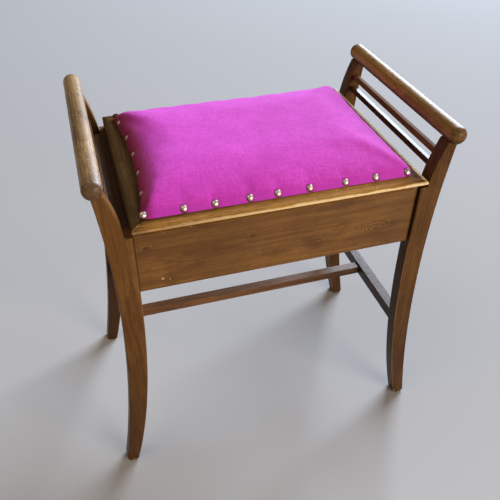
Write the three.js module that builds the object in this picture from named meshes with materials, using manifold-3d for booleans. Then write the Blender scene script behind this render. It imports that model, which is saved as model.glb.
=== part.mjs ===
// Piano bench with open arms and a lift-up upholstered lid over a shallow music box.
// Millimetres, +Z up, +Y towards the back, origin on the floor under the middle of the bench.
import * as THREE from 'three';
import Module from 'manifold-3d';
import { mergeVertices } from 'three/addons/utils/BufferGeometryUtils.js';
import { RoundedBoxGeometry } from 'three/addons/geometries/RoundedBoxGeometry.js';

// ---------------------------------------------------------------- driving sizes
const FIT = 0.3;                 // clearance left between pieces that seat on each other
const OVERCUT = 1;               // how far cutting bodies run out past the faces they open
const EASE = 1.2;                // worn arris of boards and stretchers

const FRAME_HALF_DEPTH = 161;    // middle of the bench to the outer face of a leg
const LEG_THICKNESS = 23;        // front to back
const LEG_ARRIS = 2;             // rounding of the legs' long edges
const JOINT_FACE_X = 208.3;      // flat inner face of a leg, where the aprons join it
const WAIST_WIDTH = 31.7;        // leg, side to side, at its narrowest standing line
const WAIST_Z = 360;             // height where the outer edge turns from foot to arm
const FOOT_FLARE = 31;           // outer toe beyond the waist
const FOOT_WIDTH = 21;
const FOOT_ROUND = 4;
const SHIN_BOW = 10;             // how far the inner edge has swung out a third of the way up
const ARM_FLARE = 12.7;          // outer edge at the arm beyond the waist
const POST_TOP_WIDTH = 15;
const SHOULDER = 10.3;           // ledge where the post narrows to let the lid pass
const POST_SWEEP = 0.22;         // share of the post's inner lean gained in its lower half

const BOX_TOP_Z = 487;
const APRON_HEIGHT = 100;
const APRON_RECESS = 6;          // front apron behind the legs' front faces
const APRON_THICKNESS = 12;
const SIDE_APRON_THICKNESS = 20;
const BOX_SIDE_THICKNESS = 12;   // boards that line the box's ends and carry the lid
const BEARER = 10;               // square strips under the bottom panel
const BOTTOM_THICKNESS = 5;

const RAIL_RISE = 80.5;          // axis of the arm rails above the box
const RAIL_SET = 2.8;            // rail's axis outside the middle of the post's top
const RAIL_RADIUS = 13.2;
const RAIL_OVERHANG = 10.5;      // domed end beyond the leg's face
const RAIL_DOME = 10;
const SADDLE = 2.8;              // how far a post's top wraps up round the rail
const ROD_SIZE = 9;
const ROD_CHAMFER = 1;
const UPPER_ROD_RISE = 43.5;     // rods' middles above the box
const LOWER_ROD_RISE = 23.3;

const STRETCHER_TOP_Z = 212;
const SIDE_STRETCHER_SET = 21.2; // joint face of a leg to the middle of a side stretcher
const SIDE_STRETCHER_WIDTH = 18;
const SIDE_STRETCHER_HEIGHT = 20;
const MIDDLE_STRETCHER_WIDTH = 17;
const MIDDLE_STRETCHER_HEIGHT = 14.5;
const MIDDLE_STRETCHER_DROP = 3.5;

const LID_THICKNESS = 20.7;
const LID_RAIL_WIDTH = 45;
const LID_SIDE_REACH = 2;        // side nosing beyond the legs' joint faces
const LID_FRONT_REACH = 13;      // front nosing beyond the legs' front faces
const NOSE_TOP_INSET = 9.5;      // flat top strip ends here, measured in from the nose
const NOSE_UNDER_INSET = 8.5;
const NOSE_Z_SHARE = 0.62;       // height of the nose in the lid's thickness
const QUIRK = 1.3;               // little step between the flat strip and the nosing
const REBATE_WIDTH = 8;
const PANEL_THICKNESS = 6;

const PAD_SIDE_MARGIN = 14.3;    // lid left bare beside the pad's front corners
const PAD_FRONT_MARGIN = 19;
const PAD_BACK_MARGIN = 16;
const PAD_TAPER = 3;             // back corners further in than the front ones
const PAD_LEFT_WAIST = 11;       // how far each side is pulled in at mid-depth
const PAD_RIGHT_WAIST = 7;
const PAD_CORNER = 9;
const PAD_CROWN = 32;            // top of the cushion above the lid
const CROWN_REACH = 0.8;         // the flat of the crown starts this share of the way in
const CROWN_PACING = 1.7;        // how closely the swell's rings gather at its edge
const CROWN_FULLNESS = 2.6;      // how steeply the stuffing swells up behind the nails
const SKIRT_HEIGHT = 12;         // nailed band of cloth round the board
const SKIRT_LEAN = 0.46;         // inward run for each millimetre of rise
const COVER_THICKNESS = 1.5;
const SEAT_BOARD_THICKNESS = 10;

const NAIL_RADIUS = 4.8;
const NAIL_DOME = 3.2;
const NAIL_SHANK_RADIUS = 0.9;
const NAIL_SHANK_LENGTH = 7;
const NAIL_HEIGHT = 5.5;         // above the bottom edge of the cloth
const FRONT_NAILS = 9;           // corner nails included
const SIDE_NAIL_PITCH = 53;      // from the front edge towards the back
const NAIL_END_INSET = 7;        // corner nails in from the corners
const LAST_NAIL_INSET = 20;      // least room left between a side row and the back edge
const NAIL_DRIFT = 8;            // rows set by eye run off to the left at mid-span

const HINGE_SET = 90.3;          // joint face of a leg to the middle of a hinge
const HINGE_LENGTH = 50;
const HINGE_LEAF_THICKNESS = 1.2;
const HINGE_LEAF_INSET = 10.5;   // leaf's reach into the box from the back faces
const KNUCKLE_RADIUS = 2.5;
const KNUCKLE_STANDOFF = 0.7;    // knuckle clear of the back faces
const KNUCKLES = 5;
const PIN_RADIUS = 1;
const PIN_CAP = 1;               // pin's rounded end beyond the knuckles
const SCREWS_PER_LEAF = 3;
const SCREW_HEAD_RADIUS = 2.1;
const SCREW_RADIUS = 1.1;
const SCREW_LENGTH = 9;

// ---------------------------------------------------------------- sizes worked out from them
const WAIST_X = JOINT_FACE_X + WAIST_WIDTH;
const TOE_X = WAIST_X + FOOT_FLARE;
const HEEL_X = TOE_X - FOOT_WIDTH;
const APRON_BOTTOM_Z = BOX_TOP_Z - APRON_HEIGHT;
const RAIL_Z = BOX_TOP_Z + RAIL_RISE;
const POST_TOP_Z = RAIL_Z - RAIL_RADIUS + SADDLE;
const POST_TOP_OUTER_X = WAIST_X + ARM_FLARE;
const POST_TOP_INNER_X = POST_TOP_OUTER_X - POST_TOP_WIDTH;
const POST_FOOT_X = JOINT_FACE_X + SHOULDER;
const RAIL_X = (POST_TOP_OUTER_X + POST_TOP_INNER_X) / 2 + RAIL_SET;
const SIDE_STRETCHER_X = JOINT_FACE_X + SIDE_STRETCHER_SET;
const HINGE_X = JOINT_FACE_X - HINGE_SET;
const LEG_CENTRE_Y = FRAME_HALF_DEPTH - LEG_THICKNESS / 2;
const LEG_INNER_Y = FRAME_HALF_DEPTH - LEG_THICKNESS;
const APRON_OUTER_Y = FRAME_HALF_DEPTH - APRON_RECESS;
const APRON_INNER_Y = APRON_OUTER_Y - APRON_THICKNESS;
const BOX_INNER_X = JOINT_FACE_X - FIT - BOX_SIDE_THICKNESS;

const LID_BOTTOM_Z = BOX_TOP_Z + FIT;
const LID_TOP_Z = LID_BOTTOM_Z + LID_THICKNESS;
const LID_HALF_WIDTH = JOINT_FACE_X + LID_SIDE_REACH;
const LID_FRONT_Y = -(FRAME_HALF_DEPTH + LID_FRONT_REACH);
const LID_BACK_Y = APRON_OUTER_Y;
const PAD_Z = LID_TOP_Z + FIT;
const PAD_HALF_WIDTH = LID_HALF_WIDTH - PAD_SIDE_MARGIN;
const PAD_FRONT_Y = LID_FRONT_Y + PAD_FRONT_MARGIN;
const PAD_BACK_Y = LID_BACK_Y - PAD_BACK_MARGIN;
const PAD_HALF_DEPTH = (PAD_BACK_Y - PAD_FRONT_Y) / 2;
const PAD_Y = (PAD_BACK_Y + PAD_FRONT_Y) / 2;

const AXIS_Y = APRON_OUTER_Y + KNUCKLE_STANDOFF + KNUCKLE_RADIUS;
const AXIS_Z = BOX_TOP_Z + FIT / 2;

// ---------------------------------------------------------------- finishes
const finish = (color, roughness, metalness = 0) =>
  new THREE.MeshStandardMaterial({ color, roughness, metalness });
const walnut = () => finish('#7a4f2c', 0.42);
const darkWalnut = () => finish('#5c3820', 0.48);
const mouldingWood = () => finish('#8c6236', 0.36);
const pine = () => finish('#b08a5a', 0.7);
const cloth = () => finish('#c455ad', 0.92);
const stuffing = () => finish('#d8cbb2', 0.95);
const brass = () => finish('#b08d4f', 0.35, 1);

// ---------------------------------------------------------------- solids and booleans
const wasm = await Module();
wasm.setup();

function toSolid(geometry) {
  const plain = geometry.clone();
  plain.deleteAttribute('normal');
  plain.deleteAttribute('uv');
  const merged = mergeVertices(plain, 1e-4);
  return new wasm.Manifold(new wasm.Mesh({
    numProp: 3,
    vertProperties: new Float32Array(merged.attributes.position.array),
    triVerts: new Uint32Array(merged.index.array),
  }));
}

function toGeometry(solid) {
  const mesh = solid.getMesh();
  const geometry = new THREE.BufferGeometry();
  geometry.setAttribute('position', new THREE.BufferAttribute(mesh.vertProperties, 3));
  geometry.setIndex(new THREE.BufferAttribute(mesh.triVerts, 1));
  geometry.computeVertexNormals();
  return geometry;
}

function cut(geometry, tools) {
  return toGeometry(tools.reduce((solid, tool) => solid.subtract(toSolid(tool)), toSolid(geometry)));
}

function join(geometries) {
  return toGeometry(geometries.map(toSolid).reduce((whole, piece) => whole.add(piece)));
}

// A block given by its two corners.
function block(x0, x1, y0, y1, z0, z1) {
  return new THREE.BoxGeometry(x1 - x0, y1 - y0, z1 - z0)
    .translate((x0 + x1) / 2, (y0 + y1) / 2, (z0 + z1) / 2);
}

// The same block with its arrises worn round.
function easedBlock(x0, x1, y0, y1, z0, z1, ease = EASE) {
  return new RoundedBoxGeometry(x1 - x0, y1 - y0, z1 - z0, 1, ease)
    .translate((x0 + x1) / 2, (y0 + y1) / 2, (z0 + z1) / 2);
}

// A closed body through rings of equal point counts, its first and last rings capped by the
// triangles of their common plan.
function loft(rings, plan = rings[0].map((p) => new THREE.Vector2(p.x, p.y))) {
  const count = rings[0].length;
  const positions = rings.flat().flatMap((p) => [p.x, p.y, p.z]);
  const triangles = [];
  for (let r = 0; r + 1 < rings.length; r++) {
    for (let i = 0; i < count; i++) {
      const a = r * count + i;
      const b = r * count + (i + 1) % count;
      triangles.push(a, b, b + count, a, b + count, a + count);
    }
  }
  const last = (rings.length - 1) * count;
  for (const [a, b, c] of THREE.ShapeUtils.triangulateShape(plan, [])) {
    triangles.push(a, c, b, last + a, last + b, last + c);
  }
  const geometry = new THREE.BufferGeometry();
  geometry.setAttribute('position', new THREE.Float32BufferAttribute(positions, 3));
  geometry.setIndex(triangles);
  geometry.computeVertexNormals();
  return geometry;
}

const frame = new THREE.Group();
frame.name = 'frame';
const lid = new THREE.Group();
lid.name = 'lid';

function addTo(group, name, geometry, material) {
  const mesh = new THREE.Mesh(geometry, material);
  mesh.name = name;
  group.add(mesh);
  return mesh;
}

const SIDES = [['left', -1], ['right', 1]];
const ENDS = [['front', -1], ['back', 1]];

// ---------------------------------------------------------------- legs
// One sabre-curved plank from foot to arm: the outer edge is hollow, the inner edge is full,
// flat where the aprons join, and stepped back at the shoulder so that the lid can pass.
function legOutline(side) {
  const s = new THREE.Shape();
  const x = (value) => side * value;
  s.moveTo(x(HEEL_X + FOOT_ROUND), 0);
  s.lineTo(x(TOE_X - FOOT_ROUND), 0);
  s.quadraticCurveTo(x(TOE_X), 0, x(TOE_X), FOOT_ROUND);
  s.quadraticCurveTo(x(WAIST_X), WAIST_Z / 2, x(WAIST_X), WAIST_Z);
  s.quadraticCurveTo(x(WAIST_X), (WAIST_Z + POST_TOP_Z) / 2, x(POST_TOP_OUTER_X), POST_TOP_Z);
  s.lineTo(x(POST_TOP_INNER_X), POST_TOP_Z);
  const sweepX = POST_FOOT_X + POST_SWEEP * (POST_TOP_INNER_X - POST_FOOT_X);
  s.quadraticCurveTo(x(sweepX), (POST_TOP_Z + BOX_TOP_Z) / 2, x(POST_FOOT_X), BOX_TOP_Z);
  s.lineTo(x(JOINT_FACE_X), BOX_TOP_Z);
  s.lineTo(x(JOINT_FACE_X), APRON_BOTTOM_Z);
  s.bezierCurveTo(
    x(JOINT_FACE_X), APRON_BOTTOM_Z * 2 / 3,
    x(JOINT_FACE_X + SHIN_BOW), APRON_BOTTOM_Z / 3,
    x(HEEL_X), FOOT_ROUND,
  );
  s.quadraticCurveTo(x(HEEL_X), 0, x(HEEL_X + FOOT_ROUND), 0);
  return s;
}

function leg(side, end) {
  const plank = new THREE.ExtrudeGeometry(legOutline(side), {
    depth: LEG_THICKNESS - 2 * LEG_ARRIS,
    curveSegments: 8,
    bevelEnabled: true,
    bevelThickness: LEG_ARRIS,
    bevelSize: LEG_ARRIS,
    bevelOffset: -LEG_ARRIS,
    bevelSegments: 2,
  });
  plank.rotateX(Math.PI / 2);
  plank.translate(0, end * LEG_CENTRE_Y + LEG_THICKNESS / 2 - LEG_ARRIS, 0);
  const railBed = new THREE.CylinderGeometry(
    RAIL_RADIUS + FIT, RAIL_RADIUS + FIT, LEG_THICKNESS + 2 * RAIL_OVERHANG, 32);
  railBed.translate(side * RAIL_X, end * LEG_CENTRE_Y, RAIL_Z);
  return cut(plank, [railBed]);
}

for (const [sideName, side] of SIDES) {
  for (const [endName, end] of ENDS) {
    addTo(frame, `leg_${endName}_${sideName}`, leg(side, end), walnut());
  }
}

// ---------------------------------------------------------------- arm rails
// A turned rail with domed ends lies along each pair of post tops.
function armRail() {
  const half = FRAME_HALF_DEPTH + RAIL_OVERHANG;
  const steps = 5;
  const profile = [];
  for (let i = 0; i <= steps; i++) {
    const angle = (i / steps) * Math.PI / 2;
    const y = -half + RAIL_DOME * (1 - Math.cos(angle));
    profile.push(new THREE.Vector2(RAIL_RADIUS * Math.sin(angle), y));
  }
  for (let i = steps; i >= 0; i--) {
    profile.push(new THREE.Vector2(profile[i].x, -profile[i].y));
  }
  return new THREE.LatheGeometry(profile, 24);
}

for (const [sideName, side] of SIDES) {
  const rail = addTo(frame, `arm_rail_${sideName}`, armRail(), walnut());
  rail.position.set(side * RAIL_X, 0, RAIL_Z);
}

// ---------------------------------------------------------------- arm rods
// Two square rods between the posts of each arm, turned to the posts' lean at their height.
function postCentreX(z) {
  const along = (z - BOX_TOP_Z) / (POST_TOP_Z - BOX_TOP_Z);
  const inner = POST_FOOT_X
    + (POST_TOP_INNER_X - POST_FOOT_X) * (2 * POST_SWEEP * along * (1 - along) + along * along);
  const rise = (z - WAIST_Z) / (POST_TOP_Z - WAIST_Z);
  return (inner + WAIST_X + ARM_FLARE * rise * rise) / 2;
}

function squareBar(size, chamfer, length) {
  const h = size / 2;
  const c = h - chamfer;
  const corners = [[h, -c], [h, c], [c, h], [-c, h], [-h, c], [-h, -c], [-c, -h], [c, -h]];
  const section = new THREE.Shape(corners.map(([x, y]) => new THREE.Vector2(x, y)));
  return new THREE.ExtrudeGeometry(section, { depth: length, bevelEnabled: false })
    .translate(0, 0, -length / 2)
    .rotateX(Math.PI / 2);
}

for (const [sideName, side] of SIDES) {
  for (const [level, z] of [['upper', BOX_TOP_Z + UPPER_ROD_RISE], ['lower', BOX_TOP_Z + LOWER_ROD_RISE]]) {
    const rod = addTo(frame, `arm_rod_${level}_${sideName}`,
      squareBar(ROD_SIZE, ROD_CHAMFER, 2 * (LEG_INNER_Y - FIT)), darkWalnut());
    const lean = Math.atan((postCentreX(z + 1) - postCentreX(z - 1)) / 2);
    rod.position.set(side * postCentreX(z), 0, z);
    rod.rotation.y = side * lean;
  }
}

// ---------------------------------------------------------------- stretchers
// An H under the box: one stretcher front to back at each end, and one between them.
for (const [sideName, side] of SIDES) {
  const x0 = side * SIDE_STRETCHER_X - SIDE_STRETCHER_WIDTH / 2;
  addTo(frame, `side_stretcher_${sideName}`, easedBlock(
    x0, x0 + SIDE_STRETCHER_WIDTH,
    -LEG_INNER_Y + FIT, LEG_INNER_Y - FIT,
    STRETCHER_TOP_Z - SIDE_STRETCHER_HEIGHT, STRETCHER_TOP_Z), walnut());
}
const MIDDLE_HALF = SIDE_STRETCHER_X - SIDE_STRETCHER_WIDTH / 2 - FIT;
const MIDDLE_TOP_Z = STRETCHER_TOP_Z - MIDDLE_STRETCHER_DROP;
addTo(frame, 'middle_stretcher', easedBlock(
  -MIDDLE_HALF, MIDDLE_HALF,
  -MIDDLE_STRETCHER_WIDTH / 2, MIDDLE_STRETCHER_WIDTH / 2,
  MIDDLE_TOP_Z - MIDDLE_STRETCHER_HEIGHT, MIDDLE_TOP_Z), walnut());

// ---------------------------------------------------------------- hinge sizes shared by wood and brass
const KNUCKLE_PITCH = HINGE_LENGTH / KNUCKLES;
const LEAF_INNER_Y = APRON_OUTER_Y - HINGE_LEAF_INSET;
const LEAF_OUTER_Y = AXIS_Y - KNUCKLE_RADIUS - FIT;
const SCREW_Y = (LEAF_INNER_Y + LEAF_OUTER_Y) / 2;
const screwXs = Array.from({ length: SCREWS_PER_LEAF }, (_, i) =>
  ((i + 0.5) / SCREWS_PER_LEAF - 0.5) * HINGE_LENGTH);

// up = -1 for the box's leaf, whose screws run down, and 1 for the lid's leaf above it.
const leafFaceZ = (up) => (up < 0 ? BOX_TOP_Z : LID_BOTTOM_Z);

function hingeHousing(x, up) {
  const z = leafFaceZ(up);
  const deep = z + up * (HINGE_LEAF_THICKNESS + FIT);
  return block(
    x - HINGE_LENGTH / 2 - FIT, x + HINGE_LENGTH / 2 + FIT,
    LEAF_INNER_Y - FIT, APRON_OUTER_Y + OVERCUT,
    Math.min(z - up * OVERCUT, deep), Math.max(z - up * OVERCUT, deep));
}

function screwBody(x, up, grow) {
  const z = leafFaceZ(up);
  const neck = SCREW_RADIUS + grow;
  const head = SCREW_HEAD_RADIUS + grow;
  const profile = [
    [0, SCREW_LENGTH + grow], [neck, SCREW_LENGTH + grow], [neck, HINGE_LEAF_THICKNESS],
    [head, grow > 0 ? -grow : 0], [0, grow > 0 ? -grow : 0],
  ].map(([r, depth]) => new THREE.Vector2(r, -depth));
  return new THREE.LatheGeometry(profile, 10).rotateX(-up * Math.PI / 2).translate(x, SCREW_Y, z);
}

// ---------------------------------------------------------------- music box
const apronHalf = JOINT_FACE_X - FIT;
const hingeXs = SIDES.map(([, side]) => side * HINGE_X);
const screwHoles = (up) => hingeXs.flatMap((hx) => screwXs.map((sx) => screwBody(hx + sx, up, FIT)));

addTo(frame, 'apron_front', easedBlock(
  -apronHalf, apronHalf, -APRON_OUTER_Y, -APRON_INNER_Y, APRON_BOTTOM_Z, BOX_TOP_Z), walnut());
addTo(frame, 'apron_back', cut(
  easedBlock(-apronHalf, apronHalf, APRON_INNER_Y, APRON_OUTER_Y, APRON_BOTTOM_Z, BOX_TOP_Z),
  [...hingeXs.map((x) => hingeHousing(x, -1)), ...screwHoles(-1)]), walnut());

for (const [sideName, side] of SIDES) {
  const near = side * JOINT_FACE_X;
  const far = side * (JOINT_FACE_X + SIDE_APRON_THICKNESS);
  addTo(frame, `apron_${sideName}`, easedBlock(
    Math.min(near, far), Math.max(near, far),
    -LEG_INNER_Y + FIT, LEG_INNER_Y - FIT, APRON_BOTTOM_Z, BOX_TOP_Z), walnut());

  const liningInner = side * BOX_INNER_X;
  const liningOuter = side * (JOINT_FACE_X - FIT);
  addTo(frame, `box_side_${sideName}`, block(
    Math.min(liningInner, liningOuter), Math.max(liningInner, liningOuter),
    -APRON_INNER_Y + FIT, APRON_INNER_Y - FIT, APRON_BOTTOM_Z, BOX_TOP_Z), darkWalnut());
}

const bearerTop = APRON_BOTTOM_Z + BEARER;
const bearerOuterX = BOX_INNER_X - FIT;
const bearerOuterY = APRON_INNER_Y - FIT;
for (const [endName, end] of ENDS) {
  const y = end * (bearerOuterY - BEARER / 2);
  addTo(frame, `bottom_bearer_${endName}`, block(
    -bearerOuterX, bearerOuterX, y - BEARER / 2, y + BEARER / 2, APRON_BOTTOM_Z, bearerTop), pine());
}
for (const [sideName, side] of SIDES) {
  const x = side * (bearerOuterX - BEARER / 2);
  const y = bearerOuterY - BEARER - FIT;
  addTo(frame, `bottom_bearer_${sideName}`, block(
    x - BEARER / 2, x + BEARER / 2, -y, y, APRON_BOTTOM_Z, bearerTop), pine());
}
addTo(frame, 'bottom_panel', block(
  -bearerOuterX, bearerOuterX, -bearerOuterY, bearerOuterY,
  bearerTop + FIT, bearerTop + FIT + BOTTOM_THICKNESS), pine());

// ---------------------------------------------------------------- lid frame
// Section of a moulded rail: u is measured in from the nose, z up. A flat strip, a small quirk,
// a rounded nosing and a rebate for the panel. All but the hinged rail are undercut.
function mouldingSection(undercut) {
  const noseZ = LID_BOTTOM_Z + NOSE_Z_SHARE * LID_THICKNESS;
  const panelZ = LID_TOP_Z - PANEL_THICKNESS - FIT;
  const s = new THREE.Shape();
  s.moveTo(LID_RAIL_WIDTH, LID_BOTTOM_Z);
  s.lineTo(LID_RAIL_WIDTH, panelZ);
  s.lineTo(LID_RAIL_WIDTH - REBATE_WIDTH, panelZ);
  s.lineTo(LID_RAIL_WIDTH - REBATE_WIDTH, LID_TOP_Z);
  s.lineTo(NOSE_TOP_INSET, LID_TOP_Z);
  s.lineTo(NOSE_TOP_INSET, LID_TOP_Z - QUIRK);
  s.quadraticCurveTo(0, LID_TOP_Z - QUIRK, 0, noseZ);
  if (undercut) {
    s.quadraticCurveTo(0, LID_BOTTOM_Z + QUIRK, NOSE_UNDER_INSET, LID_BOTTOM_Z + QUIRK);
    s.lineTo(NOSE_UNDER_INSET, LID_BOTTOM_Z);
  } else {
    s.lineTo(0, LID_BOTTOM_Z);
  }
  return s.getPoints(5);
}

// place(u, along, z) puts the section's points in space, and each end is a plane along(u).
function mouldedRail(place, startAt, endAt, undercut = true) {
  const section = mouldingSection(undercut);
  const ring = (at) => section.map((p) => place(p.x, at(p.x), p.y));
  return outward(loft([ring(startAt), ring(endAt)], section));
}

// Turns a closed geometry's faces to point out.
function outward(geometry) {
  const p = geometry.attributes.position;
  const index = geometry.index.array;
  let volume = 0;
  const [a, b, c] = [new THREE.Vector3(), new THREE.Vector3(), new THREE.Vector3()];
  for (let i = 0; i < index.length; i += 3) {
    a.fromBufferAttribute(p, index[i]);
    b.fromBufferAttribute(p, index[i + 1]);
    c.fromBufferAttribute(p, index[i + 2]);
    volume += a.dot(b.cross(c));
  }
  if (volume < 0) {
    for (let i = 0; i < index.length; i += 3) {
      [index[i], index[i + 1]] = [index[i + 1], index[i]];
    }
  }
  geometry.computeVertexNormals();
  return geometry;
}

// Half the mitre's gap, measured along the rail.
const MITRE = FIT / Math.SQRT2;

addTo(lid, 'lid_rail_front', mouldedRail(
  (u, along, z) => new THREE.Vector3(along, LID_FRONT_Y + u, z),
  (u) => -(LID_HALF_WIDTH - u - MITRE),
  (u) => LID_HALF_WIDTH - u - MITRE), mouldingWood());

for (const [sideName, side] of SIDES) {
  addTo(lid, `lid_rail_${sideName}`, mouldedRail(
    (u, along, z) => new THREE.Vector3(side * (LID_HALF_WIDTH - u), along, z),
    (u) => LID_FRONT_Y + u + MITRE,
    (u) => LID_BACK_Y - u - MITRE), mouldingWood());
}

const panelHalfWidth = LID_HALF_WIDTH - LID_RAIL_WIDTH + REBATE_WIDTH - FIT;
const panelFrontY = LID_FRONT_Y + LID_RAIL_WIDTH - REBATE_WIDTH + FIT;
const panelBackY = LID_BACK_Y - LID_RAIL_WIDTH + REBATE_WIDTH - FIT;
const panelBottomZ = LID_TOP_Z - PANEL_THICKNESS;
const backRail = mouldedRail(
  (u, along, z) => new THREE.Vector3(along, LID_BACK_Y - u, z),
  (u) => -(LID_HALF_WIDTH - u - MITRE),
  (u) => LID_HALF_WIDTH - u - MITRE,
  false);
addTo(lid, 'lid_rail_back', cut(
  backRail, [...hingeXs.map((x) => hingeHousing(x, 1)), ...screwHoles(1)]), mouldingWood());
addTo(lid, 'lid_panel', block(
  -panelHalfWidth, panelHalfWidth, panelFrontY, panelBackY, panelBottomZ, LID_TOP_Z), pine());

// ---------------------------------------------------------------- seat pad
// Plan of the pad: straight front and back, sides that pull in, rounded corners.
function padPlan(inset) {
  const w = PAD_HALF_WIDTH - inset;
  const b = w - PAD_TAPER;
  const d = PAD_HALF_DEPTH - inset;
  const r = PAD_CORNER;
  const middle = w - PAD_TAPER / 2;
  const s = new THREE.Shape();
  s.moveTo(-w + r, -d);
  s.lineTo(0, -d);
  s.lineTo(w - r, -d);
  s.quadraticCurveTo(w, -d, w - r / 4, -d + r);
  s.quadraticCurveTo(middle - 2 * PAD_RIGHT_WAIST, 0, b - r / 4, d - r);
  s.quadraticCurveTo(b, d, b - r, d);
  s.lineTo(0, d);
  s.lineTo(-b + r, d);
  s.quadraticCurveTo(-b, d, -b + r / 4, d - r);
  s.quadraticCurveTo(-middle + 2 * PAD_LEFT_WAIST, 0, -w + r / 4, -d + r);
  s.quadraticCurveTo(-w, -d, -w + r, -d);
  return s.getPoints(6).slice(0, -1);
}

const padRing = (inset, z) => padPlan(inset).map((p) => new THREE.Vector3(p.x, PAD_Y + p.y, z));

// Rings of the cushion's skin, shrunk inwards by an even thickness: the nailed band leans in,
// then the stuffing swells up to the crown.
function skinRings(shrink, fromZ) {
  const bandTop = SKIRT_HEIGHT - shrink;
  const bandInset = shrink + bandTop * SKIRT_LEAN;
  const reach = PAD_HALF_DEPTH * CROWN_REACH;
  const steps = 6;
  const rings = [];
  if (fromZ < PAD_Z + bandTop) {
    rings.push(padRing(shrink + (fromZ - PAD_Z) * SKIRT_LEAN, fromZ));
  }
  for (let i = 0; i <= steps; i++) {
    const swell = (i / steps) ** CROWN_PACING;
    const rise = bandTop + (PAD_CROWN - SKIRT_HEIGHT) * (1 - (1 - swell) ** CROWN_FULLNESS);
    rings.push(padRing(bandInset + (reach - bandInset) * swell, PAD_Z + rise));
  }
  return rings;
}

const boardTopZ = PAD_Z + SEAT_BOARD_THICKNESS;
const boardGap = COVER_THICKNESS + FIT;

// Upholstery nails: domed head outside the cloth, shank through it into the edge of the board.
function nailBody(grow) {
  const shank = NAIL_SHANK_RADIUS + grow;
  const profile = [[0, -NAIL_SHANK_LENGTH - grow], [shank, -NAIL_SHANK_LENGTH - grow]];
  if (grow > 0) {
    profile.push([shank, NAIL_DOME], [0, NAIL_DOME]);
  } else {
    profile.push([shank, FIT], [NAIL_RADIUS, FIT]);
    for (const t of [0.35, 0.7]) {
      const angle = t * Math.PI / 2;
      profile.push([NAIL_RADIUS * Math.cos(angle), FIT + NAIL_DOME * Math.sin(angle)]);
    }
    profile.push([0, FIT + NAIL_DOME]);
  }
  return new THREE.LatheGeometry(profile.map(([r, h]) => new THREE.Vector2(r, h)), grow > 0 ? 6 : 8);
}

// A nail stands square to the leaning band of cloth. It faces the back at a facing of 0.
function nailPlace(x, y, facing) {
  const lean = Math.atan(SKIRT_LEAN);
  const matrix = new THREE.Matrix4().makeRotationZ(facing);
  matrix.multiply(new THREE.Matrix4().makeRotationX(lean));
  matrix.setPosition(x, PAD_Y + y, PAD_Z + NAIL_HEIGHT);
  return matrix;
}

const nailInset = NAIL_HEIGHT * SKIRT_LEAN;
function endRow(end) {
  const reach = PAD_HALF_WIDTH - NAIL_END_INSET;
  return Array.from({ length: FRONT_NAILS }, (_, i) => {
    const even = (2 * i / (FRONT_NAILS - 1) - 1) * reach;
    const x = even - NAIL_DRIFT * Math.cos(even / reach * Math.PI / 2) ** 2;
    return nailPlace(x, end * (PAD_HALF_DEPTH - nailInset), end < 0 ? Math.PI : 0);
  });
}

// The pulled-in side follows the facets of the pad's plan, so each nail sits on its facet.
function sideRow(side) {
  const plan = padPlan(nailInset);
  const count = Math.floor((2 * PAD_HALF_DEPTH - LAST_NAIL_INSET) / SIDE_NAIL_PITCH);
  return Array.from({ length: count }, (_, i) => {
    const y = (i + 1) * SIDE_NAIL_PITCH - PAD_HALF_DEPTH;
    const crosses = (a, b) => a.x * side > 0 && (a.y <= y) !== (b.y <= y);
    const k = plan.findIndex((a, j) => crosses(a, plan[(j + 1) % plan.length]));
    const [a, b] = [plan[k], plan[(k + 1) % plan.length]];
    const slope = (b.x - a.x) / (b.y - a.y);
    return nailPlace(a.x + slope * (y - a.y), y, -side * Math.PI / 2 - Math.atan(slope));
  });
}

const nailPlaces = [...endRow(-1), ...endRow(1), ...sideRow(-1), ...sideRow(1)];
const nails = nailPlaces.map((place) => nailBody(0).applyMatrix4(place));
const nailHoles = nailPlaces.map((place) => nailBody(FIT).applyMatrix4(place));

const board = loft([
  padRing(boardGap, PAD_Z),
  padRing(boardGap + SEAT_BOARD_THICKNESS * SKIRT_LEAN, boardTopZ),
]);
addTo(lid, 'seat_board', join([board, ...nails]), pine());
addTo(lid, 'seat_stuffing', loft(skinRings(boardGap, boardTopZ + FIT)), stuffing());
addTo(lid, 'seat_cover', cut(
  loft(skinRings(0, PAD_Z)),
  [loft(skinRings(COVER_THICKNESS, PAD_Z - OVERCUT)), ...nailHoles]), cloth());

// ---------------------------------------------------------------- hinges
// Butt hinges let into the back apron and the lid: two leaves, alternate knuckles and a pin.
function hingeLeaf(up) {
  const z = leafFaceZ(up);
  const z0 = Math.min(z, z + up * HINGE_LEAF_THICKNESS);
  const z1 = z0 + HINGE_LEAF_THICKNESS;
  const pieces = [block(-HINGE_LENGTH / 2, HINGE_LENGTH / 2, LEAF_INNER_Y, LEAF_OUTER_Y, z0, z1)];
  for (let i = up < 0 ? 0 : 1; i < KNUCKLES; i += 2) {
    const x0 = -HINGE_LENGTH / 2 + i * KNUCKLE_PITCH + FIT / 2;
    const x1 = x0 + KNUCKLE_PITCH - FIT;
    const barrel = new THREE.CylinderGeometry(KNUCKLE_RADIUS, KNUCKLE_RADIUS, x1 - x0, 16);
    barrel.rotateZ(Math.PI / 2);
    barrel.translate((x0 + x1) / 2, AXIS_Y, AXIS_Z);
    pieces.push(barrel, block(x0, x1, LEAF_OUTER_Y - 1, AXIS_Y, z0, z1));
  }
  const boreRadius = PIN_RADIUS + FIT;
  const bore = new THREE.CylinderGeometry(boreRadius, boreRadius, HINGE_LENGTH + 2 * OVERCUT, 12);
  bore.rotateZ(Math.PI / 2);
  bore.translate(0, AXIS_Y, AXIS_Z);
  return cut(join(pieces), [bore, ...screwXs.map((x) => screwBody(x, up, FIT))]);
}

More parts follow.
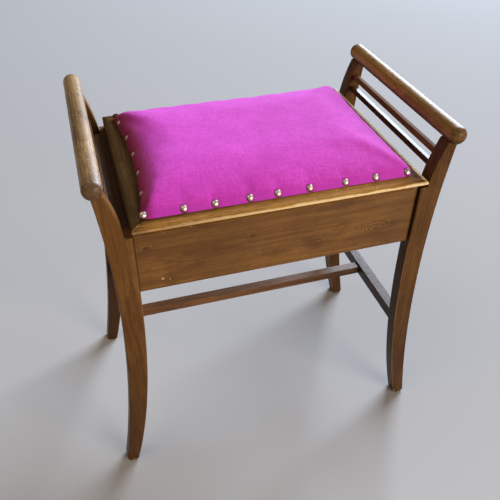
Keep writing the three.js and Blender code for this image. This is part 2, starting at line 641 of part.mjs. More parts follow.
function hingePin() {
  const half = HINGE_LENGTH / 2;
  const profile = [
    [0, -half - PIN_CAP], [PIN_RADIUS * 0.7, -half - PIN_CAP], [PIN_RADIUS, -half - PIN_CAP / 2],
    [PIN_RADIUS, half + PIN_CAP / 2], [PIN_RADIUS * 0.7, half + PIN_CAP], [0, half + PIN_CAP],
  ].map(([r, h]) => new THREE.Vector2(r, h));
  return new THREE.LatheGeometry(profile, 12).rotateZ(Math.PI / 2).translate(0, AXIS_Y, AXIS_Z);
}

for (const [sideName, side] of SIDES) {
  const x = side * HINGE_X;
  addTo(frame, `hinge_leaf_box_${sideName}`, hingeLeaf(-1).translate(x, 0, 0), brass());
  addTo(frame, `hinge_pin_${sideName}`, hingePin().translate(x, 0, 0), brass());
  addTo(lid, `hinge_leaf_lid_${sideName}`, hingeLeaf(1).translate(x, 0, 0), brass());
}
for (const [group, part, up] of [[frame, 'box', -1], [lid, 'lid', 1]]) {
  for (const [sideName, side] of SIDES) {
    screwXs.forEach((x, i) => {
      addTo(group, `hinge_screw_${part}_${sideName}_${i + 1}`,
        screwBody(side * HINGE_X + x, up, 0), brass());
    });
  }
}

const bench = new THREE.Group();
bench.name = 'piano_bench';
bench.add(frame, lid);

export default bench;
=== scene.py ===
from math import asin, atan, cos, exp, hypot, pi, radians, sin, sqrt

import bmesh
import bpy
from mathutils import Matrix, Vector, noise


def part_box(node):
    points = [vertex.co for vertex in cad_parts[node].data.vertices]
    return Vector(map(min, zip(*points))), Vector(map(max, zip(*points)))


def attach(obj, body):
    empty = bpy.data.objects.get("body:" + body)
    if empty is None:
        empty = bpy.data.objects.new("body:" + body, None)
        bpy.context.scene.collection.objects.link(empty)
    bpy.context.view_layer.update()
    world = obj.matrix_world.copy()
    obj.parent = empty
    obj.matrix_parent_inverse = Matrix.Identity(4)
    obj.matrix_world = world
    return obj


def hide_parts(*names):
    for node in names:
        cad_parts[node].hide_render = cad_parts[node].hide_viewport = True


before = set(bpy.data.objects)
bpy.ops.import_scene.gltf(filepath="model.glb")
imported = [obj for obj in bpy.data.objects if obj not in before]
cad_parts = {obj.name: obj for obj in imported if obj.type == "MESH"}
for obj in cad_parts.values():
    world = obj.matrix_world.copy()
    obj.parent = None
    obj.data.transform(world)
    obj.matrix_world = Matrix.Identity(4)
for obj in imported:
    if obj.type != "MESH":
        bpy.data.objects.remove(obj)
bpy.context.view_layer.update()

# -------- room, light and camera
# The bench stands on a pale floor in an ordinary room: a tall cool window behind it on its
# right, softer warm light from in front of it, also on the right, and a weak ceiling light.
# The eye looks down over its left corner.
bpy.context.scene.view_settings.view_transform = "Standard"

bpy.ops.object.camera_add(location=(-0.24832, -0.78351, 0.96054),
                          rotation=(radians(51.0), radians(-0.640), radians(-17.131)))
eye = bpy.context.object
eye.name = "eye"
eye.data.lens = 43.05
bpy.context.scene.camera = eye


def lamp(name, place, target, size, power, colour):
    """A soft rectangular lamp that faces a point."""
    aim = (Vector(target) - Vector(place)).to_track_quat("-Z", "Y").to_euler()
    bpy.ops.object.light_add(type="AREA", location=place, rotation=aim)
    made = bpy.context.object
    made.name = name
    made.data.shape = "RECTANGLE"
    made.data.size, made.data.size_y = size
    made.data.energy = power
    made.data.color = colour


lamp("window", (7.0, 6.4, 4.65), (0.0, 0.0, 0.45), (6.6, 8.0), 2950, (0.70, 0.83, 1.0))
lamp("room", (1.9, -3.1, 1.00), (0.0, 0.0, 0.35), (1.9, 1.5), 108, (1.0, 0.89, 0.77))
lamp("ceiling", (-1.8, -0.2, 3.00), (0.0, 0.0, 0.45), (2.6, 2.6), 30, (1.0, 0.90, 0.76))

room_light = bpy.data.worlds.new("room_light")
room_light.use_nodes = True
glow = room_light.node_tree.nodes["Background"].inputs
glow["Color"].default_value = (1.0, 0.82, 0.72, 1)
glow["Strength"].default_value = 0.10
bpy.context.scene.world = room_light


def begun(name, add, **how):
    """A piece begun with one of the primitives, with nothing else selected."""
    bpy.ops.object.select_all(action="DESELECT")
    add(**how)
    piece = bpy.context.object
    piece.name = name
    return piece


floor = begun("floor", bpy.ops.mesh.primitive_plane_add, size=14)
painted = bpy.data.materials.new("pale_floor")
painted.use_nodes = True
matt = painted.node_tree.nodes["Principled BSDF"].inputs
matt["Base Color"].default_value = (0.43, 0.405, 0.39, 1)
matt["Roughness"].default_value = 0.9
matt["Specular IOR Level"].default_value = 0.0
floor.data.materials.append(painted)

# -------- legs
# Four sabre-curved planks of stained hardwood, sawn to one outline from foot to arm. They are
# flat where the aprons are tenoned in, stepped back at the shoulder so that the lid can pass,
# and hollowed at the top as a bed for the rail. The polish is old, rubbed through on the arrises.
JOINT_FACE_X = 0.2083            # inner face of a leg
WAIST_X, WAIST_Z = 0.2400, 0.360     # outer face where it is narrowest
TOE_X, HEEL_X, FOOT_ROUND = 0.2710, 0.2500, 0.006
SHIN_BOW = 0.010
BOX_TOP_Z, APRON_BOTTOM_Z = 0.4870, 0.3870
SHOULDER_X = 0.2186              # foot of the post, above the shoulder
POST_TOP_Z = 0.5571
POST_OUTER_X, POST_INNER_X, POST_SWEEP_X = 0.2527, 0.2377, 0.2228
LEG_FRONT_Y, LEG_INNER_Y = -0.1610, -0.1380
LEG_ARRIS = 0.0020
RAIL_X, RAIL_Z, RAIL_RADIUS = 0.2480, 0.5675, 0.0132
FIT = 0.0003                     # the pieces clear each other by this much
# heights between which the darkening low down, the darkening at the top and the painted shade on faces
# turned in come and go
LOW_DARKENING, HIGH_DARKENING, SHADE = (0.50, 0.06), (0.46, 0.55), (0.530, 0.480)


def maths(operation, reflected=False):
    """An operator or a method of Value that adds one Math node."""
    def method(self, other=0.0):
        first, second = (other, self) if reflected else (self, other)
        return self.finish.add("ShaderNodeMath", {"operation": operation}, {0: first, 1: second})
    return method


class Value:
    """What one socket of a finish gives. Arithmetic on it adds Math nodes to that finish."""

    def __init__(self, finish, socket):
        self.finish, self.socket = finish, socket

    __add__, __radd__ = maths("ADD"), maths("ADD", reflected=True)
    __sub__, __rsub__ = maths("SUBTRACT"), maths("SUBTRACT", reflected=True)
    __mul__, __rmul__ = maths("MULTIPLY"), maths("MULTIPLY", reflected=True)
    __truediv__, __rtruediv__ = maths("DIVIDE"), maths("DIVIDE", reflected=True)
    __abs__, sine, root = maths("ABSOLUTE"), maths("SINE"), maths("SQRT")
    most, least = maths("MAXIMUM"), maths("MINIMUM")
    part = maths("FRACT")            # what is left over a whole number

    def rise(self, low, high):
        """0 below low and 1 above high, eased between; high may be the lower one."""
        return self.finish.add("ShaderNodeMapRange", {"interpolation_type": "SMOOTHSTEP"},
                               {"Value": self, "From Min": low, "From Max": high})


class Finish:
    """A material and the nodes it is mixed from."""

    def __init__(self, name, **constants):
        self.material = bpy.data.materials.new(name)
        self.material.use_nodes = True
        self.tree = self.material.node_tree
        self.shader = self.tree.nodes["Principled BSDF"]
        for socket, value in constants.items():
            self.shader.inputs[socket.replace("_", " ")].default_value = value

    def add(self, kind, settings=None, sockets=None, out=0):
        """One node: its settings first, then the values or links of its sockets."""
        node = self.tree.nodes.new(kind)
        for setting, value in (settings or {}).items():
            setattr(node, setting, value)
        for socket, value in (sockets or {}).items():
            self.put(node.inputs[socket], value)
        return Value(self, node.outputs[out])

    def put(self, socket, value):
        if isinstance(value, Value):
            self.tree.links.new(value.socket, socket)
        elif socket.type == "RGBA":
            socket.default_value = (*value, 1)
        else:
            socket.default_value = value

    def feed(self, socket, value):
        self.put(self.shader.inputs[socket], value)

    def place(self):
        return self.add("ShaderNodeTexCoord", out="Object")

    def axes(self, vector):
        """The three numbers of a vector."""
        split = self.add("ShaderNodeSeparateXYZ", {}, {"Vector": vector}).socket.node
        return [Value(self, out) for out in split.outputs]

    def facing(self):
        """The way the surface faces."""
        return self.add("ShaderNodeNewGeometry", out="Normal")

    def shade(self, share, first, second):
        """Two colours mixed, share of the second."""
        return self.add("ShaderNodeMix", {"data_type": "RGBA"}, {0: share, 6: first, 7: second}, out=2)

    def cloud(self, vector, scale, detail=2.0, rough=0.5, out=0):
        """Soft noise, as a number or a colour."""
        return self.add("ShaderNodeTexNoise", {}, {
            "Vector": vector, "Scale": scale, "Detail": detail, "Roughness": rough}, out)

    def stretch(self, vector, scale, shift=(0, 0, 0), turn=(0, 0, 0)):
        return self.add("ShaderNodeMapping", {}, {
            "Vector": vector, "Location": shift, "Rotation": turn, "Scale": scale})

    def drawn_out(self, vector, scale, detail=2.0, rough=0.5, shift=(0, 0, 0), out=0):
        """Soft noise drawn out along one of the axes."""
        return self.cloud(self.stretch(vector, scale, shift), 1.0, detail, rough, out)

    def vector_maths(self, operation, *vectors, out=0):
        return self.add("ShaderNodeVectorMath", {"operation": operation}, dict(enumerate(vectors)), out)

    def bump(self, strength, depth, height):
        self.feed("Normal", self.add("ShaderNodeBump", {}, {
            "Strength": strength, "Distance": depth, "Height": height}))


def toned(colour, by, lift=0.0):
    """A colour made darker or paler."""
    return tuple(min(1.0, c * by + lift) for c in colour)


GRAIN_TURN = {"x": (0, 0, 0), "y": (0, 0, -pi / 2), "z": (0, pi / 2, 0)}
WAVER, KNOT_LONG = 0.012, 0.45   # how far the grain wavers; a knot's width over its length
# pale of a nosing's worn polish, which also stands in for its highlight: painted highlight
BALD_AND_HIGHLIT_WOOD = (0.96, 0.72, 0.38)


def polished_wood(name, grain, pale, warm, deep, tree, lean=(0.0, 0.0), ring=0.0034,
                  rubbed=0.35, stain=0.5, knots=(), chips=(), scuffs=0.0, gloss=0.42, coat=0.10,
                  shine=0.18, darker_low=0.0, darker_high=0.0, inner=None, figure=0.30, nosing=None,
                  ends=None, glazed=None, under=0.0):
    """Stained and polished hardwood. The grain runs along one axis of the bench; tree is where
    the heart of the log lies beside the piece, and lean is how it drifts off along the grain.
    ring is from one year's growth to the next. Knots and chips are each a place and a reach.
    glazed tells how much varnish is left, from how far a face looks up."""
    f = Finish(name, Coat_Weight=coat, Coat_Roughness=0.22, Specular_IOR_Level=shine)
    place = f.place()
    log = f.stretch(place, (1, 1, 1), turn=GRAIN_TURN[grain])

    # the fibres wander a little off the line, and part round knots
    wander = f.drawn_out(log, (3.2, 13, 13), 3.0, 0.55, (1.7, 4.1, 2.3), "Color")
    bent = f.vector_maths("MULTIPLY_ADD", wander, (0.0, WAVER, WAVER), log)
    along, across, up = f.axes(bent)
    heart_y = across - tree[0] - WAVER / 2 - along * lean[0]
    heart_z = up - tree[1] - WAVER / 2 - along * lean[1]
    radius = (heart_y * heart_y + heart_z * heart_z).root()
    near_knot = None
    for spot, reach in knots:
        gap = f.vector_maths("DISTANCE", f.stretch(place, (KNOT_LONG, 1, 1)),
                             (spot[0] * KNOT_LONG, spot[1], spot[2]), out="Value")
        swirl = (gap / reach).rise(1.0, 0.0)
        radius = radius + swirl * reach * 0.9
        near_knot = swirl if near_knot is None else near_knot.most(swirl)

    phase = (radius / ring + 0.9 * f.drawn_out(log, (6, 60, 60))).part()
    late = phase.rise(0.35, 0.93) * phase.rise(1.0, 0.94)
    fibre = f.drawn_out(bent, (9, 620, 620), 3.0, 0.6)
    streak = f.drawn_out(bent, (5, 130, 130), 3.0, 0.62, (3, 1, 7))
    fleck = f.drawn_out(bent, (75, 560, 560), 3.0, 0.6, (6, 2, 9)).rise(0.52, 0.68)
    pores = f.drawn_out(bent, (90, 1900, 1900), 1.0).rise(0.60, 0.72)
    tone = f.cloud(place, 9.0, 3.0, 0.55)
    blotch = f.drawn_out(log, (16, 34, 34), 4.0, 0.62, (9, 2, 5))

    colour = f.shade(streak.rise(0.34, 0.68), warm, pale)

    def darken(share, by=1.0):
        """The stain's deep tone, or a darker one, laid over the colour so far."""
        nonlocal colour
        colour = f.shade(share, colour, toned(deep, by))

    lines = late * figure if near_knot is None else late * (near_knot + figure).least(0.8)
    darken(lines)
    darken(fibre.rise(0.42, 0.70) * 0.28)
    darken(fleck * 0.34, 0.8)
    darken(pores * 0.45, 0.45)
    darken(blotch.rise(0.50, 0.74) * stain)
    darken(tone.rise(0.66, 0.36) * stain * 0.55, 0.8)
    if near_knot is not None:
        darken(near_knot.rise(0.60, 1.0) * 0.30, 0.7)

    # end grain drinks more stain, and dirt lodges in mitred corners
    if ends:
        axis, low, high, share = ends
        lodged = f.drawn_out(log, (60, 300, 300), 3.0, 0.6, (2, 2, 2))
        dark = abs(f.axes(place)[axis]) + (lodged - 0.5) * (high - low)
        darken(dark.rise(low, high) * share, 0.8)

    # the lower part is made darker, and on the right legs the top as well
    x, y, z = f.axes(place)
    if darker_low:
        darken(z.rise(*LOW_DARKENING) * darker_low, 0.55)
    if darker_high:
        darken(z.rise(*HIGH_DARKENING) * darker_high)

    # faces turned in to the middle of the bench are painted darker, as painted shade
    facing = f.facing()
    across_face, along_face, upward = f.axes(facing)
    if inner:
        inward_shade = ((across_face * x * 5.0).rise(-0.35, -0.90) * inner[0]).most(
            (along_face * y * 8.0).rise(-0.35, -0.90) * inner[1])
        inward_shade = inward_shade * z.rise(*SHADE)
        darken(inward_shade, 0.7)

    # polish rubbed off the arrises, with the bare wood showing pale
    bevel = f.add("ShaderNodeBevel", {"samples": 4}, {"Radius": 0.0024})
    flat = f.vector_maths("DOT_PRODUCT", bevel, facing, out="Value")
    ragged = f.drawn_out(log, (28, 160, 160), 4.0, 0.7)
    worn = flat.rise(0.985, 0.80) * ragged.rise(0.40, 0.66) * rubbed
    if inner:
        turned_in = (across_face * x).rise(0.0, -0.03) * z.rise(0.42, 0.34)
        turning = abs(along_face).rise(0.35, 0.60) * abs(along_face).rise(0.97, 0.85)
        worn = worn + turning * turned_in * ragged.rise(0.32, 0.50) * inner[2]
    colour = f.shade(worn.least(1.0), colour, toned(pale, 1.7, 0.05))

    # and along a nosing, paler towards one end: partly polish worn off, partly a painted highlight;
    # painted shade below it, and darker along the cushion's foot
    if nosing:
        (edge, top), reach, (start, full) = nosing
        run, aside = (x, y) if grain == "x" else (y, x)
        off = ((aside - edge) * (aside - edge) + (z - top) * (z - top)).root() / reach
        rag = f.drawn_out(log, (30, 200, 200), 4.0, 0.65)
        run = run + rag * 0.06
        # painted shade under the nosing
        darken(z.rise(0.5002, 0.4968) * 0.75, 0.7)
        # the pale nosing is partly wear and partly a painted highlight
        bald_and_highlit = (off + (rag - 0.5) * 1.6).rise(1.05, 0.45) * run.rise(start, full)
        colour = f.shade(bald_and_highlit * 0.9, colour, BALD_AND_HIGHLIT_WOOD)
        # darker along the cushion's foot
        foot = (abs(aside) - abs(edge)).rise(-0.0096, -0.0166) * run.rise(full, start)
        darken(foot * rag.rise(0.25, 0.50), 0.4)

    rough = gloss + 0.16 * (tone - 0.5) + worn * 0.18 + pores * 0.1
    if scuffs:
        rub = f.drawn_out(log, (70, 330, 330), 5.0, 0.68, (5, 5, 1))
        patch = f.cloud(log, 19.0, 2.0).rise(0.42, 0.60)
        bare = rub.rise(0.60, 0.66) * patch * scuffs * 0.6
        pits = f.drawn_out(log, (120, 420, 420), 4.0, 0.6, (1, 8, 3)).rise(0.55, 0.62)
        pits = pits * patch.most(0.35) * scuffs
        colour = f.shade(bare, colour, toned(pale, 1.9, 0.06))
        darken(pits * 0.8, 0.35)
        rough = rough + bare * 0.15
    for spot, reach in chips:
        gap = f.vector_maths("DISTANCE", place, spot, out="Value")
        edge = f.cloud(place, 520.0, 3.0, 0.6)
        chip = (gap / reach + edge * 0.9).rise(1.05, 0.85)
        colour = f.shade(chip * 0.85, colour, toned(pale, 2.2, 0.10))
    # faces that look down are painted darker: painted shade
    if under:
        darken(upward.rise(0.10, -0.50) * under, 0.7)
    if glazed:
        f.feed("Coat Weight", glazed(upward))
    f.feed("Base Color", colour)
    f.feed("Roughness", rough)
    lumps = f.cloud(place, 60.0, 2.0)
    f.bump(0.22, 0.0006, late * -0.25 + fibre * 0.35 - pores * 0.9 + lumps * 1.6)
    return f.material


def only(piece):
    """Just this piece is selected and active."""
    bpy.ops.object.select_all(action="DESELECT")
    piece.select_set(True)
    bpy.context.view_layer.objects.active = piece


def edit(piece, how="FACE"):
    only(piece)
    bpy.ops.object.mode_set(mode="EDIT")
    bpy.ops.mesh.select_mode(type=how)


def select_all():
    bpy.ops.mesh.select_all(action="SELECT")


def done(closed=False):
    """Out of edit mode, with the faces of a piece just closed turned outwards first."""
    if closed:
        select_all()
        bpy.ops.mesh.normals_make_consistent()
    bpy.ops.object.mode_set(mode="OBJECT")


def carry_on(path, steps, *turns):
    """The path goes on along a curve to the last of its turning points."""
    start = path[-1]
    for i in range(1, steps + 1):
        level = [Vector(point) for point in (start, *turns)]
        while len(level) > 1:
            level = [a.lerp(b, i / steps) for a, b in zip(level, level[1:])]
        path.append(tuple(level[0]))


def drawn(name, points):
    """A line from point to point, left in edit mode with all of it selected."""
    piece = begun(name, bpy.ops.mesh.primitive_plane_add, size=0.001)
    edit(piece, "VERT")
    bpy.ops.mesh.merge(type="CENTER")
    at = Vector(points[0])
    bpy.ops.transform.translate(value=at)
    for point in points[1:]:
        to = Vector(point)
        bpy.ops.mesh.extrude_vertices_move(TRANSFORM_OT_translate={"value": to - at})
        at = to
    select_all()
    return piece


def sawn(name, outline, lift, thickness):
    """A plank sawn to an outline, which is drawn as it closes, filled and given thickness. lift
    puts its points in space, and thickness is the way and the length of the sides."""
    piece = drawn(name, [lift(*point) for point in outline])
    bpy.ops.mesh.edge_face_add()
    bpy.ops.mesh.extrude_region_move(TRANSFORM_OT_translate={"value": thickness})
    done(closed=True)
    return piece


def smooth(angle=40):
    """The active piece is shaded smooth, but for its sharper corners."""
    bpy.ops.object.shade_smooth_by_angle(angle=radians(angle))


def modified(piece, kind, **settings):
    """The piece with a modifier of this kind applied."""
    only(piece)
    change = piece.modifiers.new(kind, kind)
    for setting, value in settings.items():
        setattr(change, setting, value)
    bpy.ops.object.modifier_apply(modifier=kind)


def ease(piece, width, segments=3, angle=30):
    """The arrises are rounded over, and the surface is shaded smooth between them."""
    modified(piece, "BEVEL", width=width, segments=segments, limit_method="ANGLE",
             angle_limit=radians(angle))
    smooth()


def carve(piece, tool):
    """The piece cut by a tool, which is used up."""
    modified(piece, "BOOLEAN", operation="DIFFERENCE", object=tool, solver="EXACT")
    bpy.data.objects.remove(tool)


def copied(piece, name, flip=(1, 1, 1), turn=0.0):
    """A copy with its own mesh, mirrored in the bench's middle planes, or turned."""
    other = bpy.data.objects.new(name, piece.data.copy())
    bpy.context.scene.collection.objects.link(other)
    other.data.transform(Matrix.Rotation(turn, 4, "Z") @ Matrix.Diagonal((*flip, 1)))
    if flip[0] * flip[1] * flip[2] < 0:
        other.data.flip_normals()
    return other


def fitted(piece, body, material, slot, *nodes):
    """The finished piece gets its finish, takes its CAD nodes' place and rides on its body."""
    modified(piece, "WEIGHTED_NORMAL", keep_sharp=True)      # wide faces shade as flat ones
    piece.data.materials.clear()
    piece.data.materials.append(material)
    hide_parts(*nodes)
    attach(piece, body)


# The legs are one wood, painted lighter on the left and darker on the right: painted light and shade.
left_leg_wood = polished_wood(
    "left_leg_wood", "z", (0.262, 0.122, 0.030), (0.180, 0.075, 0.016), (0.069, 0.026, 0.007),
    (0.06, 0.30), lean=(0.02, -0.02), rubbed=0.8, ring=0.0042, darker_low=0.60,
    inner=(0.85, 0.8, 0.3), coat=0.05, shine=0.10,
    chips=(((-0.2695, -0.1605, 0.006), 0.0030), ((-0.2600, -0.1610, 0.0045), 0.0018)))
right_leg_wood = polished_wood(
    "right_leg_wood", "z", (0.205, 0.093, 0.024), (0.138, 0.058, 0.013), (0.052, 0.020, 0.006),
    (-0.05, -0.32), lean=(0.02, -0.02), rubbed=1.2, stain=0.6, ring=0.0040, darker_low=0.5,
    darker_high=0.5, inner=(0.80, 0.2, 0.75), coat=0.04, shine=0.08,
    chips=(((0.2512, -0.1603, 0.008), 0.0034),))

edge = [(TOE_X - FOOT_ROUND, 0)]
carry_on(edge, 4, (TOE_X, 0), (TOE_X, FOOT_ROUND))
carry_on(edge, 22, (WAIST_X, WAIST_Z / 2), (WAIST_X, WAIST_Z))
carry_on(edge, 14, (WAIST_X, (WAIST_Z + POST_TOP_Z) / 2), (POST_OUTER_X, POST_TOP_Z))
edge.append((POST_INNER_X, POST_TOP_Z))
carry_on(edge, 10, (POST_SWEEP_X, (POST_TOP_Z + BOX_TOP_Z) / 2), (SHOULDER_X, BOX_TOP_Z))
edge += [(JOINT_FACE_X, BOX_TOP_Z), (JOINT_FACE_X, APRON_BOTTOM_Z)]
carry_on(edge, 24, (JOINT_FACE_X, APRON_BOTTOM_Z * 2 / 3),
         (JOINT_FACE_X + SHIN_BOW, APRON_BOTTOM_Z / 3), (HEEL_X, FOOT_ROUND))
carry_on(edge, 4, (HEEL_X, 0), (HEEL_X + FOOT_ROUND, 0))
leg = sawn("front_right_leg", edge,
           lambda x, z: (x, LEG_FRONT_Y, z), (0, LEG_INNER_Y - LEG_FRONT_Y, 0))
ease(leg, LEG_ARRIS)
carve(leg, begun("bed", bpy.ops.mesh.primitive_cylinder_add, vertices=96,
                 radius=RAIL_RADIUS + FIT, depth=0.4, location=(RAIL_X, 0, RAIL_Z),
                 rotation=(pi / 2, 0, 0)))
for end, side, flip in (("front", "left", (-1, 1, 1)), ("back", "right", (1, -1, 1)),
                        ("back", "left", (-1, -1, 1))):
    fitted(copied(leg, f"{end}_{side}_leg", flip), "frame",
           left_leg_wood if side == "left" else right_leg_wood, "walnut", f"leg_{end}_{side}")
fitted(leg, "frame", right_leg_wood, "walnut", "leg_front_right")

# -------- arm rails
# A turned rail with domed ends lies in the beds of each pair of posts, pinned from below. Hands
# have rubbed its polish away in patches and left it pitted.
RAIL_END_Y, RAIL_DOME = 0.1715, 0.0100
BODY_RINGS = 8                   # between the two domes

# The two rails are one wood; the left one is painted greyer and paler, standing for its sheen: painted
# sheen.
right_rail_wood = polished_wood(
    "right_rail_wood", "y", (0.47, 0.250, 0.062), (0.330, 0.162, 0.036), (0.095, 0.041, 0.014),
    (0.31, 0.60), ring=0.0040, rubbed=0.3, stain=0.70, scuffs=0.8, shine=0.12,
    ends=(1, 0.158, 0.167, 0.6), under=0.8, glazed=lambda up: up.rise(0.10, 0.60) * 0.15)
left_rail_wood = polished_wood(
    "left_rail_wood", "y", (0.47, 0.285, 0.110), (0.325, 0.185, 0.070), (0.100, 0.048, 0.020),
    (-0.31, 0.60), ring=0.0040, rubbed=0.3, stain=0.65, scuffs=1.0, gloss=0.44, shine=0.26,
    ends=(1, 0.158, 0.167, 0.6), under=0.5, glazed=lambda up: up.rise(0.10, 0.60) * 0.20)
dome_angles = [radians(a) for a in (6, 14, 23, 32, 42, 52, 63, 76, 90)]
first_y = -RAIL_END_Y + RAIL_DOME * (1 - cos(dome_angles[0]))
rail = begun("right_rail", bpy.ops.mesh.primitive_circle_add, vertices=64,
             radius=RAIL_RADIUS * sin(dome_angles[0]), fill_type="NGON",
             location=(RAIL_X, first_y, RAIL_Z), rotation=(pi / 2, 0, 0))
bpy.ops.object.transform_apply()
edit(rail)
select_all()
rings = [(RAIL_DOME * (cos(a) - cos(b)), sin(b) / sin(a))
         for a, b in zip(dome_angles, dome_angles[1:])]
rings += ([(2 * (RAIL_END_Y - RAIL_DOME) / BODY_RINGS, 1)] * BODY_RINGS
          + [(travel, 1 / grow) for travel, grow in reversed(rings)])
y = first_y
for travel, grow in rings:
    bpy.ops.mesh.extrude_region_move(TRANSFORM_OT_translate={"value": (0, travel, 0)})
    y += travel
    bpy.ops.transform.resize(value=(grow, 1, grow), center_override=(RAIL_X, y, RAIL_Z))
done(closed=True)
smooth()
fitted(copied(rail, "left_rail", (-1, 1, 1)), "frame", left_rail_wood, "rail_wood", "arm_rail_left")
fitted(rail, "frame", right_rail_wood, "rail_wood", "arm_rail_right")

# -------- arm rods
# Two square rods are tenoned between the posts of each arm, turned to the posts' lean where
# they cross. Each is planed square and its arrises are taken off.
ROD_SIZE, ROD_ARRIS = 0.0090, 0.0010
UPPER_ROD_Z, LOWER_ROD_Z = BOX_TOP_Z + 0.0435, BOX_TOP_Z + 0.0233


def post_middle(z):
    """Middle of a post from side to side at a height, from its two edges."""
    up = (z - BOX_TOP_Z) / (POST_TOP_Z - BOX_TOP_Z)
    sweep = (POST_SWEEP_X - SHOULDER_X) / (POST_INNER_X - SHOULDER_X)
    inner = SHOULDER_X + (POST_INNER_X - SHOULDER_X) * (2 * sweep * up * (1 - up) + up * up)
    rise = (z - WAIST_Z) / (POST_TOP_Z - WAIST_Z)
    return (inner + WAIST_X + (POST_OUTER_X - WAIST_X) * rise * rise) / 2


def planed(name, low, high, arris, turn=0.0):
    """A piece planed square between two corners, leaning by turn, its arrises eased."""
    low, high = Vector(low), Vector(high)
    piece = begun(name, bpy.ops.mesh.primitive_cube_add, size=1, location=(low + high) / 2,
                  rotation=(0, turn, 0))
    piece.scale = high - low
    bpy.ops.object.transform_apply()
    ease(piece, arris)
    return piece


# The two rods are one wood, the upper one painted paler than the lower: painted light.
upper_rod_wood = polished_wood(
    "upper_rod_wood", "y", (0.22, 0.100, 0.034), (0.130, 0.054, 0.018), (0.048, 0.018, 0.007),
    (0.25, 0.56), rubbed=1.6, stain=0.4, gloss=0.60, coat=0.0, shine=0.02)
lower_rod_wood = polished_wood(
    "lower_rod_wood", "y", (0.12, 0.052, 0.022), (0.066, 0.026, 0.012), (0.024, 0.009, 0.005),
    (0.22, 0.50), rubbed=0.5, stain=0.4, gloss=0.26, shine=0.05,
    glazed=lambda up: up.rise(0.3, 0.8) * 0.20)
half, rod_end = ROD_SIZE / 2, -LEG_INNER_Y - FIT
for level, z, rod_wood in (("upper", UPPER_ROD_Z, upper_rod_wood),
                           ("lower", LOWER_ROD_Z, lower_rod_wood)):
    x = post_middle(z)
    lean = atan((post_middle(z + 0.001) - post_middle(z - 0.001)) / 0.002)
    rod = planed(f"{level}_right_rod", (x - half, -rod_end, z - half),
                 (x + half, rod_end, z + half), ROD_ARRIS, lean)
    left_rod = copied(rod, f"{level}_left_rod", (-1, 1, 1))
    fitted(left_rod, "frame", rod_wood, "dark_wood", f"arm_rod_{level}_left")
    fitted(rod, "frame", rod_wood, "dark_wood", f"arm_rod_{level}_right")

# -------- stretchers
# The legs of each end are tied front to back, and one long stretcher ties the two ends, all of
# them stub-tenoned and glued. Shoes have dulled their tops and knocked their edges.
BOARD_ARRIS = 0.0012


def plain_board(name, node, wood):
    """A board of the frame, planed to its CAD node's size and fitted in its place."""
    fitted(planed(name, *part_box(node), BOARD_ARRIS), "frame", wood, "walnut", node)


end_tie_wood = polished_wood(
    "end_tie_wood", "y", (0.135, 0.060, 0.026), (0.080, 0.033, 0.015), (0.026, 0.010, 0.007),
    (0.27, 0.26), rubbed=0.5, inner=(0.7, 0.0, 0.0), gloss=0.36, coat=0.0)
for side in ("left", "right"):
    plain_board(f"{side}_end_tie", f"side_stretcher_{side}", end_tie_wood)
long_tie_wood = polished_wood(
    "long_tie_wood", "x", (0.25, 0.112, 0.040), (0.145, 0.058, 0.021), (0.034, 0.013, 0.008),
    (0.03, 0.24), lean=(0.02, 0.03), rubbed=1.5, gloss=0.34, coat=0.05, shine=0.16)
plain_board("long_tie", "middle_stretcher", long_tie_wood)

# -------- aprons
# Four wide boards make the sides of the music box. The front and back ones run between the
# legs' flat faces, and the end ones stand between the legs of each arm. All are tongued into
# the legs, and the front board shows its figure, which swirls round four small knots.
APRON_OUTER_Y = 0.1550
HINGE_X, HINGE_LENGTH, HOUSING_DEEP, HOUSING_CUT = 0.1180, 0.0500, 0.0108, 0.0015
PAST = 0.004                     # a housing's cutter stands this far past the wood


def house_hinges(piece, outer_y, bottom, top):
    """A shallow housing for each hinge is cut between two heights, open to the back."""
    for x in (-HINGE_X, HINGE_X):
        half = HINGE_LENGTH / 2 + FIT
        carve(piece, planed("housing", (x - half, outer_y - HOUSING_DEEP, bottom),
                            (x + half, outer_y + PAST, top), 0.0002))
    smooth()


apron_wood = polished_wood(
    "apron_wood", "x", (0.275, 0.126, 0.026), (0.185, 0.078, 0.0155), (0.078, 0.029, 0.0075),
    (-0.118, 0.372), lean=(0.004, 0.004), ring=0.0027, rubbed=0.45, stain=0.62, figure=0.32,
    knots=(((-0.193, -0.155, 0.4590), 0.011), ((0.149, -0.155, 0.4190), 0.023),
           ((0.053, -0.155, 0.4150), 0.011), ((-0.044, -0.155, 0.4490), 0.008)),
    chips=(((-0.1748, -0.155, 0.4040), 0.0034), ((-0.165, -0.155, 0.4010), 0.0016)))
plain_board("front_apron", "apron_front", apron_wood)
back_apron = planed("back_apron", *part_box("apron_back"), BOARD_ARRIS)
house_hinges(back_apron, APRON_OUTER_Y, BOX_TOP_Z - HOUSING_CUT, BOX_TOP_Z + PAST)
fitted(back_apron, "frame", apron_wood, "walnut", "apron_back")
end_apron_wood = polished_wood(
    "end_apron_wood", "y", (0.20, 0.090, 0.030), (0.130, 0.053, 0.017), (0.050, 0.018, 0.007),
    (0.34, 0.50), lean=(0.02, 0.02), rubbed=0.6, stain=0.6)
for side in ("left", "right"):
    plain_board(f"{side}_apron", f"apron_{side}", end_apron_wood)

# -------- inside the music box
# Plain work that only shows with the lid up: stained boards line the two ends and carry the
# lid, and a thin bottom panel lies on four bearers pinned round the foot of the box.


def bare_wood(name, grain, pale, warm, deep, tree, dirt=0.4):
    """Unpolished board: dry, a little dusty, with its own figure."""
    return polished_wood(name, grain, pale, warm, deep, tree, ring=0.0046, rubbed=0.0,
                         stain=dirt, gloss=0.72, coat=0.0)


def dress(node, material):
    """A CAD node that keeps its own shape gets its finish."""
    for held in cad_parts[node].material_slots:
        held.material = material


